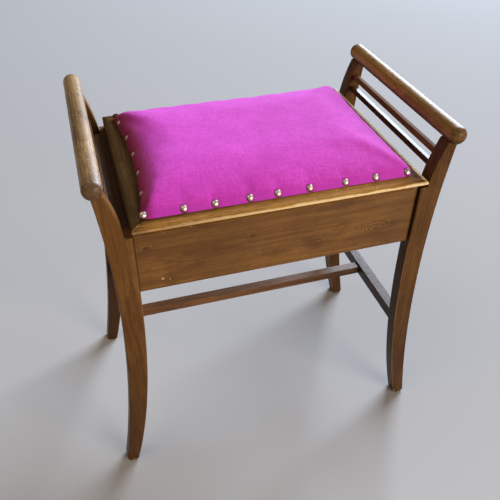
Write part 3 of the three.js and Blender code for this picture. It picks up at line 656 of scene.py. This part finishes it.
lining_wood = bare_wood(
    "lining_wood", "y", (0.11, 0.050, 0.022), (0.070, 0.030, 0.014), (0.026, 0.011, 0.006),
    (0.21, 0.44))
PINE = (0.46, 0.30, 0.150), (0.36, 0.215, 0.095), (0.20, 0.100, 0.040)
bottom_board = bare_wood("bottom_board", "x", *PINE, (0.02, 0.31), dirt=0.55)
bearer_long = bare_wood("bearer_long", "x", *PINE, (0.15, 0.34))
bearer_short = bare_wood("bearer_short", "y", *PINE, (0.22, 0.36))
for side in ("left", "right"):
    dress(f"box_side_{side}", lining_wood)
    dress(f"bottom_bearer_{side}", bearer_short)
for end in ("front", "back"):
    dress(f"bottom_bearer_{end}", bearer_long)
dress("bottom_panel", bottom_board)

# -------- lid frame
# Four rails mitred round a panel. Each has a flat strip and a thin rounded nosing that
# overhangs the box; the one at the back is left square below for the hinges.
LID_BOTTOM_Z, LID_TOP_Z = 0.4873, 0.5080
LID_HALF_WIDTH = 0.2103
LID_FRONT_Y, LID_BACK_Y = -0.1740, 0.1550
LID_RAIL_WIDTH, REBATE, PANEL = 0.0450, 0.0080, 0.0060
NOSE_TOP, NOSE_UNDER, NOSE_Z = 0.0070, 0.0140, 0.5038
QUIRK, NOSE_THICK, NOSE_ROUND, COVE = 0.0004, 0.0076, 0.0035, 0.0040
MITRE = FIT / sqrt(2)            # half the gap at each mitre
LID_ARRIS = 0.0004


def moulding(undercut):
    """The section of a lid rail: how far in from the nose, and the height."""
    sole = LID_TOP_Z - PANEL - FIT
    path = [(LID_RAIL_WIDTH, LID_BOTTOM_Z), (LID_RAIL_WIDTH, sole),
            (LID_RAIL_WIDTH - REBATE, sole), (LID_RAIL_WIDTH - REBATE, LID_TOP_Z),
            (NOSE_TOP, LID_TOP_Z), (NOSE_TOP, LID_TOP_Z - QUIRK)]
    carry_on(path, 12, (0, LID_TOP_Z - QUIRK), (0, NOSE_Z))
    if undercut:
        below = LID_TOP_Z - NOSE_THICK
        carry_on(path, 10, (0, below), (NOSE_ROUND, below))
        carry_on(path, 8, (NOSE_UNDER - 0.001, below), (NOSE_UNDER, below - COVE))
    return path + [(NOSE_UNDER if undercut else 0, LID_BOTTOM_Z)]


def cut_off(point, way):
    """Cuts off what lies beyond a plane, and closes the cut."""
    select_all()
    bpy.ops.mesh.bisect(plane_co=point, plane_no=way, use_fill=True, clear_outer=True)


def long_way(edge, inward):
    """How a rail at the front or back edge is laid, its length, and its two mitres."""
    mitres = [((end * (half - MITRE), edge, 0), (end, inward, 0)) for end in (-1, 1)]
    return lambda u, z: (-half, edge + inward * u, z), (2 * half, 0, 0), mitres


def lid_rail(name, lift, length, mitres, undercut=True):
    """A length of the moulding, mitred at both ends."""
    piece = sawn(name, moulding(undercut), lift, length)
    edit(piece)
    for point, way in mitres:
        cut_off(point, way)
    done(closed=True)
    ease(piece, LID_ARRIS, 2, 38)
    return piece


lid_wood_long = polished_wood(
    "lid_wood_long", "x", (0.54, 0.270, 0.056), (0.390, 0.178, 0.034), (0.165, 0.063, 0.013),
    (-0.20, 0.555), lean=(0.02, 0.02), ring=0.0030, rubbed=0.9, gloss=0.56, coat=0.0, shine=0.04,
    scuffs=0.4, nosing=((-0.1736, 0.5028), 0.0040, (-0.28, 0.12)), ends=(0, 0.176, 0.200, 0.9),
    chips=(((0.0736, -0.1586, 0.508), 0.0018), ((0.1199, -0.1588, 0.508), 0.0016),
           ((0.1308, -0.1694, 0.508), 0.0022), ((0.0374, -0.1700, 0.508), 0.0014)))
# The end and back rails are the same wood as the front one, painted much darker: painted shade. The
# right rail's nosing is given a pale line: a painted highlight.
shaded_tones = ((0.152, 0.079, 0.022), (0.098, 0.048, 0.013), (0.040, 0.018, 0.006))
dull_polish = dict(ring=0.0030, rubbed=0.7, stain=0.6, gloss=0.52, coat=0.0, shine=0.03)
lid_wood_short = polished_wood(
    "lid_wood_short", "y", *shaded_tones, (0.25, 0.56), lean=(0.01, 0.01),
    nosing=((0.2066, 0.5070), 0.0034, (-0.30, -0.20)), **dull_polish)
lid_wood_back = polished_wood("lid_wood_back", "x", *shaded_tones, (-0.20, 0.555),
                              lean=(0.02, 0.02), **dull_polish)
half, front, back = LID_HALF_WIDTH, LID_FRONT_Y, LID_BACK_Y
front_rail = lid_rail("front_lid_rail", *long_way(front, 1))
fitted(front_rail, "lid", lid_wood_long, "moulding", "lid_rail_front")
for name, side in (("left", -1), ("right", 1)):
    end_rail = lid_rail(
        f"{name}_lid_rail", lambda u, z: (side * (half - u), front, z), (0, back - front, 0),
        [((side * half, front + MITRE, 0), (-side, -1, 0)),
         ((side * half, back - MITRE, 0), (-side, 1, 0))])
    fitted(end_rail, "lid", lid_wood_short, "moulding", f"lid_rail_{name}")
back_rail = lid_rail("back_lid_rail", *long_way(back, -1), undercut=False)
house_hinges(back_rail, back, LID_BOTTOM_Z - PAST, LID_BOTTOM_Z + HOUSING_CUT)
fitted(back_rail, "lid", lid_wood_back, "moulding", "lid_rail_back")
panel_wood = bare_wood("panel_wood", "x", *PINE, (0.0, 0.42), dirt=0.5)
dress("lid_panel", panel_wood)

# -------- seat board and nails
# The pad is built on a thin board screwed down to the lid's panel. Domed brass nails fasten the
# cloth to the board's leaning edge: nine along the front and the back, five up each side.
PAD_Z = 0.5083
PAD_HALF_WIDTH, PAD_HALF_DEPTH, PAD_Y = 0.1960, 0.1470, -0.0080
PAD_TAPER, PAD_CORNER = 0.0010, 0.0090
LEFT_WAIST, RIGHT_WAIST = 0.0110, 0.0015
BAND_LEAN, BAND_HEIGHT = 0.46, 0.0120
CROWN = 0.0320                   # top of the cushion above the lid
SWELL = 0.0035                   # what the stuffing gains when it fills the cover
# how the cover climbs from each edge: the quick rise over the board and the run it takes, then
# the run of the slope up to the crown and how soon it rounds over
SLOPES = {"front": (0.0135, 0.0056, 0.118, 2.6), "back": (0.0125, 0.0036, 0.100, 2.7),
          "left": (0.0060, 0.0020, 0.037, 1.35), "right": (0.0135, 0.0022, 0.110, 3.4)}
NAIL_UP = 0.0055                 # height of the nails above the lid
NAIL_SUNK, SIDE_SUNK = 0.0006, 0.0015      # heads are driven this far into the cloth
ROW, SIDE_ROW, SIDE_PITCH = 9, 5, 0.0530
END_NAIL_IN, BACK_SLIP = 0.0070, 0.0080
BOARD_THICK, BOARD_INSET, CORE_ARRIS = 0.0100, 0.0018, 0.0006
BOARD_LEAN_X, BOARD_LEAN_Y = 0.0100, 0.0092
# the front row was set by eye: how far each nail stands off its even place
FRONT_SLIPS = (-0.0022, 0.0038, -0.0016, -0.0009, -0.0088, -0.0099, -0.0042, -0.0053, -0.0030)
NAIL_RADIUS, NAIL_DOME = 0.0052, 0.0028


def pad_plan(inset, steps=14):
    """Outline of the pad: straight front and back, sides pulled in, corners rounded."""
    w, d, r = PAD_HALF_WIDTH - inset, PAD_HALF_DEPTH - inset, PAD_CORNER
    b, middle = w - PAD_TAPER, w - PAD_TAPER / 2
    path = [(-w + r, -d)]
    for turn in ([(w - r, -d)], [(w, -d), (w - r / 4, -d + r)],
                 [(middle - 2 * RIGHT_WAIST, 0), (b - r / 4, d - r)], [(b, d), (b - r, d)],
                 [(-b + r, d)], [(-b, d), (-b + r / 4, d - r)],
                 [(-middle + 2 * LEFT_WAIST, 0), (-w + r / 4, -d + r)], [(-w, -d), (-w + r, -d)]):
        carry_on(path, steps, *turn)
    return [(x, PAD_Y + y) for x, y in path[1:]]


def rise_at(side, inset):
    """Height of the cover this far in from its nailed edge, before it is filled."""
    roll, run, reach, full = SLOPES[side]
    return (roll * (1 - exp(-inset / run))
            + (CROWN - SWELL - roll) * (1 - (1 - min(1.0, inset / reach)) ** full))


def inset_at(side, height):
    """How far in from its edge the cover reaches a height."""
    low, high = -0.006, SLOPES[side][2]
    for _ in range(40):
        middle = (low + high) / 2
        if rise_at(side, middle) < height:
            low = middle
        else:
            high = middle
    return high


def choose_top():
    """Of the piece in edit mode, selects just the faces that look up."""
    shape = bmesh.from_edit_mesh(bpy.context.edit_object.data)
    bpy.ops.mesh.select_all(action="DESELECT")
    for face in shape.faces:
        if face.normal.z > 0.9:
            face.select_set(True)
    shape.select_flush_mode()
    bmesh.update_edit_mesh(bpy.context.edit_object.data)


def board(name, inset, under, thick):
    """The board's shape: its edge leans in from the pad's outline."""
    made = sawn(name, pad_plan(inset, 8), lambda x, y: (x, y, PAD_Z - under), (0, 0, thick))
    edit(made)
    choose_top()
    bpy.ops.transform.resize(
        value=(1 - BOARD_LEAN_X / PAD_HALF_WIDTH, 1 - BOARD_LEAN_Y / PAD_HALF_DEPTH, 1),
        center_override=(0, PAD_Y, PAD_Z - under + thick))
    done()
    return made


seat_board = board("seat_board_core", BOARD_INSET, 0.0, BOARD_THICK)
ease(seat_board, CORE_ARRIS, 2)
fitted(seat_board, "lid", panel_wood, "pine", "seat_board")


def turned(name, profile):
    """A turned piece: its half section, from axis to axis, is spun round the upright axis."""
    piece = drawn(name, [(r, 0, h) for r, h in profile])
    bpy.ops.mesh.spin(steps=20, angle=2 * pi, center=(0, 0, 0), axis=(0, 0, 1))
    select_all()
    bpy.ops.mesh.remove_doubles(threshold=1e-6)
    done(closed=True)
    smooth()
    return piece


def nail_lean(side):
    """How far a nail's face leans back from upright on this side."""
    return atan((inset_at(side, NAIL_UP + 0.001) - inset_at(side, NAIL_UP - 0.001)) / 0.002)


def nail_places():
    """Where each nail stands on the band, which way it faces and how far it leans back."""
    places = []
    reach = PAD_HALF_WIDTH - END_NAIL_IN
    for side, end in (("front", -1), ("back", 1)):
        inset, lean = inset_at(side, NAIL_UP), nail_lean(side)
        for i in range(ROW):
            even = (2 * i / (ROW - 1) - 1) * reach
            x = even + (FRONT_SLIPS[i] if end < 0 else -BACK_SLIP * cos(even / reach * pi / 2) ** 2)
            places.append((x, PAD_Y + end * (PAD_HALF_DEPTH - inset), pi if end < 0 else 0.0, lean))
    for side, way in (("left", -1), ("right", 1)):
        plan, lean = pad_plan(inset_at(side, NAIL_UP)), nail_lean(side)
        for i in range(SIDE_ROW):
            y = PAD_Y + (i + 1) * SIDE_PITCH - PAD_HALF_DEPTH
            for a, b in zip(plan, plan[1:] + plan[:1]):
                if a[0] * way > 0 and (a[1] <= y) != (b[1] <= y):
                    slope = (b[0] - a[0]) / (b[1] - a[1])
                    places.append((a[0] + slope * (y - a[1]), y, -way * pi / 2 - atan(slope), lean))
                    break
    return places


def metal(name, bright, dull, tarnish, rough, rim=None):
    """Old brass: dulled by a film, grimy in patches, and painted darker where rim says, as painted
    shade round a nail's head.
    """
    f = Finish(name)
    place = f.place()
    film = f.cloud(place, 210.0, 4.0, 0.6).rise(0.40, 0.68)
    grime = f.cloud(place, 60.0, 3.0, 0.6).rise(0.50, 0.72)
    colour = f.shade((film * tarnish + grime * tarnish * 0.6).least(1.0), bright, dull)
    # the rim of a nail's head is painted darker: painted shade
    if rim:
        rim_shade = f.add("ShaderNodeAttribute", {"attribute_name": rim}, out="Fac")
        colour = f.shade(rim_shade.rise(0.55, 0.95) * 0.85, colour, toned(dull, 0.4))
    f.feed("Base Color", colour)
    f.feed("Metallic", 1.0 - grime * 0.25 * tarnish)
    f.feed("Roughness", rough + film * 0.22 + grime * 0.14)
    f.bump(0.25, 0.0002, f.cloud(place, 480.0, 3.0))
    return f.material


nail_metal = metal("nail_brass", (0.95, 0.76, 0.69), (0.45, 0.29, 0.24), 0.25, 0.36, rim="rim")
cap = (NAIL_RADIUS ** 2 + NAIL_DOME ** 2) / (2 * NAIL_DOME)
spread = asin(NAIL_RADIUS / cap)
dome = [(cap * sin(spread * i / 9), cap * cos(spread * i / 9) - cap + NAIL_DOME)
        for i in range(9, 0, -1)]
nail = turned("nail", [(0, -0.0070), (0.0003, -0.0066), (0.0009, -0.0050), (0.0009, 0.0),
                       (NAIL_RADIUS * 0.90, 0.0), (NAIL_RADIUS * 1.02, 0.0001)]
              + dome[1:] + [(0, NAIL_DOME)])
rim = nail.data.attributes.new("rim", "FLOAT", "POINT")
for point in nail.data.vertices:
    rim.data[point.index].value = hypot(point.co.x, point.co.y) / NAIL_RADIUS
nails, nailed = [], nail_places()
for i, (x, y, facing, lean) in enumerate(nailed):
    one = copied(nail, f"nail_{i + 1}")
    one.data.transform(Matrix.Translation((x, y, PAD_Z + NAIL_UP)) @ Matrix.Rotation(facing, 4, "Z")
                       @ Matrix.Rotation(lean - pi / 2, 4, "X")
                       @ Matrix.Translation((0, 0, -NAIL_SUNK if i < 2 * ROW else -SIDE_SUNK)))
    nails.append(one)
bpy.data.objects.remove(nail)
only(nails[0])
for one in nails:
    one.select_set(True)
bpy.ops.object.join()
seat_nails = bpy.context.object
seat_nails.name = "seat_nails"
seat_nails.data.materials.append(nail_metal)
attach(seat_nails, "lid")

# -------- cushion
# Stuffing under a close plain-woven cotton cover, drawn down over the board's leaning edge and
# nailed there. It swells between the nails, dips above each of them, and pulls in at the sides.
BELOW = 0.0040                   # spare cloth below the board, trimmed off flat at the end
MESH, ROUNDS = 0.0045, 19        # size of the worked mesh, and rings from the band to the crown
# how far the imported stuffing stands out: in lumps large and small, near the left edge, at the
# back, in the back right corner, and where the sides roll out over their nails
LUMP, SMALL_LUMP, LEFT_FULL, BACK_FULL, CORNER_FULL = 0.0011, 0.0005, 0.0012, 0.0014, 0.0062
LEFT_ROLL, RIGHT_ROLL = 0.0008, 0.0015
NAIL_DIP, NAIL_PULL = 0.0016, 0.0011       # how far a nail draws the cover in, and down
HEM, GRIP, MOMENTS = 0.0020, 0.0100, 20    # what holds the cover as it fills, and for how long

# the rings stand closest over the band, where the cover climbs quickest
heights = [rise_at("front", 0.0008 + 0.117 * (i / (ROUNDS - 1)) ** 2.1) for i in range(ROUNDS)]
under = -BELOW * BAND_LEAN
cushion = sawn("cushion", pad_plan(under), lambda x, y: (x, y, PAD_Z - BELOW),
               (0, 0, BELOW + heights[0]))
edit(cushion)
choose_top()
at = Vector((0, PAD_Y, PAD_Z + heights[0]))
wide, deep = PAD_HALF_WIDTH - under, PAD_HALF_DEPTH - under
for i, height in enumerate(heights):
    left, right, front, back = (inset_at(edge, height) for edge in ("left", "right", "front", "back"))
    to = Vector(((left - right) / 2, PAD_Y + (front - back) / 2, PAD_Z + height))
    if i:
        bpy.ops.mesh.extrude_region_move(TRANSFORM_OT_translate={"value": to - at})
    else:
        bpy.ops.transform.translate(value=to - at)
    at = to
    now = PAD_HALF_WIDTH - (left + right) / 2, PAD_HALF_DEPTH - (front + back) / 2
    bpy.ops.transform.resize(value=(now[0] / wide, now[1] / deep, 1), center_override=at)
    wide, deep = now
done()
cushion.data.remesh_voxel_size = MESH
bpy.ops.object.voxel_remesh()

nail_pulls = []
for x, y, facing, _ in nailed:
    inward = Vector((sin(facing), -cos(facing), 0))
    nail_pulls.append((Vector((x, y, PAD_Z + NAIL_UP)), inward, abs(inward.y) > 0.9))


def none_to_all(value):
    return max(0.0, min(1.0, value))


before = [point.co.copy() for point in cushion.data.vertices]
held = cushion.vertex_groups.new(name="nailed")
for i, co in enumerate(before):
    near = min((co - spot).length for spot, _, _ in nail_pulls)
    # the hem is held all along, and the cloth by each nail
    grip = 1.0 if co.z < PAD_Z + HEM else none_to_all((GRIP - near) / (GRIP / 2))
    if grip > 0:
        held.add([i], grip, "REPLACE")
filling = cushion.modifiers.new("filling", "CLOTH")
for setting, value in (
        ("quality", 6), ("mass", 0.3), ("tension_stiffness", 20), ("compression_stiffness", 20),
        ("shear_stiffness", 8), ("bending_stiffness", 2), ("use_pressure", True),
        ("uniform_pressure_force", 4), ("vertex_group_mass", "nailed")):
    setattr(filling.settings, setting, value)
filling.settings.effector_weights.gravity = 0
filling.collision_settings.use_collision = False
for moment in range(1, MOMENTS + 1):
    bpy.context.scene.frame_set(moment)
only(cushion)
bpy.ops.object.modifier_apply(modifier="filling")
bpy.context.scene.frame_set(1)
for point, co in zip(cushion.data.vertices, before):
    moved = point.co - co
    if moved.length > SWELL:
        point.co = co + moved * (SWELL / moved.length)
cushion.vertex_groups.clear()

# the folds that the filling left are eased away, down to the nailed band
loose = cushion.vertex_groups.new(name="loose")
for point in cushion.data.vertices:
    loose.add([point.index], none_to_all((point.co.z - PAD_Z - 0.0060) / 0.0060), "REPLACE")
modified(cushion, "SMOOTH", factor=0.5, iterations=22, vertex_group="loose")
cushion.vertex_groups.clear()


def bell(off, width):
    """1 in the middle, dying away on both sides."""
    return exp(-(off / width) ** 2)


def soften(co):
    """Unevenness of hand-packed stuffing, and the cover's pull towards each nail."""
    high = max(0.0, co.z - PAD_Z)
    up = min(1.0, high / 0.030)
    lump = noise.noise(co * 14 + Vector((3, 1, 2))) * LUMP + noise.noise(co * 34) * SMALL_LUMP
    depth = (co.y - PAD_Y) / PAD_HALF_DEPTH
    waist = 1 - depth * depth
    left_in = max(0.0, co.x + PAD_HALF_WIDTH - LEFT_WAIST * waist)
    right_in = max(0.0, PAD_HALF_WIDTH - RIGHT_WAIST * waist - co.x)
    full = LEFT_FULL * left_in / 0.030 * exp(1 - left_in / 0.030) * max(0.0, 1 - depth ** 4)
    # the sides roll out over their nails
    out = RIGHT_ROLL * bell(right_in, 0.014) - LEFT_ROLL * bell(left_in, 0.014)
    out *= bell(high - 0.0095, 0.0060) * min(1.0, high / 0.003)
    pull, dip = 0.0, Vector((0, 0, 0))
    for spot, inward, along_x in nail_pulls:
        away = co - spot
        near = away.length
        if near > 0.09:
            continue
        dip += inward * (NAIL_DIP * bell(near, 0.0068))
        aside = away.x if along_x else away.y
        into = away.dot(inward)
        if into > -0.006:
            fade = bell(max(0.0, into - 0.004), 0.022)
            slack = 1.0 if along_x else 0.25
            pull += slack * bell(aside, 0.0085) * fade * none_to_all(into / 0.008)
    tall = BACK_FULL * bell(depth - 0.88, 0.16)
    corner = Vector((PAD_HALF_WIDTH - 0.010, PAD_Y + PAD_HALF_DEPTH - 0.044, co.z))
    packed = CORNER_FULL * bell((co - corner).length, 0.045) * none_to_all((high - 0.008) / 0.009)
    return dip + Vector((out, 0, (lump + tall) * up + full + packed - NAIL_PULL * min(1.0, pull)))


modified(cushion, "SUBSURF", levels=1, render_levels=1)
for point in cushion.data.vertices:
    point.co += soften(point.co)
edit(cushion)
cut_off((0, 0, PAD_Z), (0, 0, -1))
done()

# the board stands up inside the cover, which is only a cloth's thickness outside it
carve(cushion, board("hollow", BOARD_INSET - FIT, 0.002, BOARD_THICK + 0.002 + FIT))
smooth(50)

# The weave runs straight over the cushion and down its band, measured along the cloth.
cover_threads = cushion.data.uv_layers.new(name="threads")
band_run = BAND_HEIGHT * BAND_LEAN


def spare(edge):
    """Cloth taken up by the slope of the band and the shoulder, this far in from an edge."""
    return 1.39 * max(0.0, band_run - edge) + 0.10 * max(0.0, 0.045 - edge)


laid = []
for point in cushion.data.vertices:
    x, y = point.co.x, point.co.y - PAD_Y
    waist = 1 - (y / PAD_HALF_DEPTH) ** 2
    laid.append((x + spare(PAD_HALF_WIDTH - RIGHT_WAIST * waist - x)
                 - spare(x + PAD_HALF_WIDTH - LEFT_WAIST * waist),
                 y + spare(PAD_HALF_DEPTH - y) - spare(y + PAD_HALF_DEPTH)))
for loop in cushion.data.loops:
    cover_threads.data[loop.index].uv = laid[loop.vertex_index]

cotton = Finish("magenta_cotton", Sheen_Weight=0.15, Sheen_Roughness=0.45,
                Sheen_Tint=(1.0, 0.72, 0.95, 1), Specular_IOR_Level=0.25)
threads = cotton.add("ShaderNodeUVMap", {"uv_map": "threads"})
THREAD = 0.00140                 # from one thread to the next
slip = cotton.vector_maths("MULTIPLY_ADD", cotton.cloud(threads, 45.0, out="Color"),
                           (0.0012, 0.0012, 0.0), threads)
warp_at, weft_at, _ = cotton.axes(slip)
warp_turn = warp_at * (pi / THREAD)
weft_turn = weft_at * (pi / THREAD)
warp_round = abs(warp_turn.sine())
weft_round = abs(weft_turn.sine())
over = warp_turn.sine() * weft_turn.sine() * 0.5 + 0.5
weave = warp_round.root() * over + weft_round.root() * (1 - over)
warp_yarn = cotton.drawn_out(threads, (1 / THREAD, 26, 1))
weft_yarn = cotton.drawn_out(threads, (26, 1 / THREAD, 1), shift=(7, 3, 0))
fuzz = cotton.cloud(threads, 2600.0, 2.0)
cloudy = cotton.cloud(cotton.place(), 13.0, 3.0, 0.6)
faded = cotton.cloud(cotton.place(), 5.0, 2.0, 0.5)
dye = cotton.shade(cloudy.rise(0.30, 0.72), (0.680, 0.042, 0.520), (0.800, 0.066, 0.640))
dye = cotton.shade(faded.rise(0.45, 0.70) * 0.45, dye, (0.86, 0.105, 0.71))
yarn = (warp_yarn * over + weft_yarn * (1 - over)).rise(0.30, 0.70)
slub = cotton.drawn_out(threads, (330, 70, 1), 3.0, 0.7, (2, 9, 0))
slub = slub * 0.5 + cotton.drawn_out(threads, (70, 330, 1), 3.0, 0.7, (5, 1, 0)) * 0.5
dye = cotton.shade(yarn * 0.38, dye, (0.50, 0.030, 0.36))
dye = cotton.shade(slub.rise(0.43, 0.60) * 0.50, dye, (0.47, 0.024, 0.34))
# the hollows between the threads are painted darker: painted shade
dye = cotton.shade(weave.rise(0.62, 0.18) * 0.55, dye, (0.28, 0.014, 0.19))
# The band under the nails is painted bluer, to offset the warmer light that falls on it: painted light.
# The left side is painted dark: painted shade.
across, _, high = cotton.axes(cotton.place())
slip_by = (cloudy - 0.5) * 0.02
tilt = cotton.axes(cotton.facing())[0]
# painted light: the band is tinted against its warmer light
dye = cotton.shade((high - PAD_Z).rise(0.013, 0.004) * 0.6, dye, (0.56, 0.052, 0.60))
# painted shade along the left side and its edge
painted_left_shade = tilt.rise(-0.24, -0.60) * (high - PAD_Z).rise(0.031, 0.012) * across.rise(-0.10, -0.15)
painted_left_shade = painted_left_shade.most((across + slip_by).rise(-0.172, -0.192) * 0.75)
dye = cotton.shade(painted_left_shade * 0.9, dye, (0.27, 0.008, 0.036))
cotton.feed("Base Color", dye)
cotton.feed("Roughness", 0.78 + fuzz * 0.14)
cotton.bump(0.55, 0.0005, weave * 0.8 + yarn * 0.3 + fuzz * 0.35)
fitted(cushion, "lid", cotton.material, "cloth", "seat_cover", "seat_stuffing")

# -------- hinges
# Two brass butt hinges are let into the back apron and the lid. Each leaf is held by three
# countersunk screws with slotted heads, and a pin with rounded ends runs through the knuckles.
LEAF = 0.0012
SCREW_HEAD, SCREW_NECK, SCREW_LONG = 0.0021, 0.0011, 0.0090
hinge_metal = metal("hinge_brass", (0.70, 0.50, 0.24), (0.26, 0.16, 0.07), 0.8, 0.30)
screw_metal = metal("screw_brass", (0.62, 0.46, 0.24), (0.20, 0.13, 0.07), 0.9, 0.34)
for side in ("left", "right"):
    for part in ("leaf_box", "leaf_lid", "pin"):
        dress(f"hinge_{part}_{side}", hinge_metal)

leaf_low, leaf_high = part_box("hinge_screw_box_left_1")
screw_y = (leaf_low[1] + leaf_high[1]) / 2
screw = turned("screw", [(0, -SCREW_LONG), (0.0004, -SCREW_LONG + 0.0006), (SCREW_NECK, -0.0068),
                         (SCREW_NECK, -LEAF), (SCREW_HEAD - 0.0001, -0.0001),
                         (SCREW_HEAD - 0.0002, 0.0), (0, 0.0)])
carve(screw, planed("slot", (-0.003, -0.00028, -0.0006), (0.003, 0.00028, 0.001), 0.00004))
for part, up, body in (("box", -1, "frame"), ("lid", 1, "lid")):
    for name, side in (("left", -1), ("right", 1)):
        for i in range(3):
            node = f"hinge_screw_{part}_{name}_{i + 1}"
            low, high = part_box(node)
            face_z = high[2] if up < 0 else low[2]
            tight = 0.4 + 1.1 * i + 0.7 * side + 0.3 * up
            driven = copied(screw, f"{part}_screw_{name}_{i + 1}", turn=tight)
            if up > 0:
                driven.data.transform(Matrix.Rotation(pi, 4, "X"))
            driven.data.transform(Matrix.Translation(((low[0] + high[0]) / 2, screw_y, face_z)))
            fitted(driven, body, screw_metal, "brass", node)
bpy.data.objects.remove(screw)
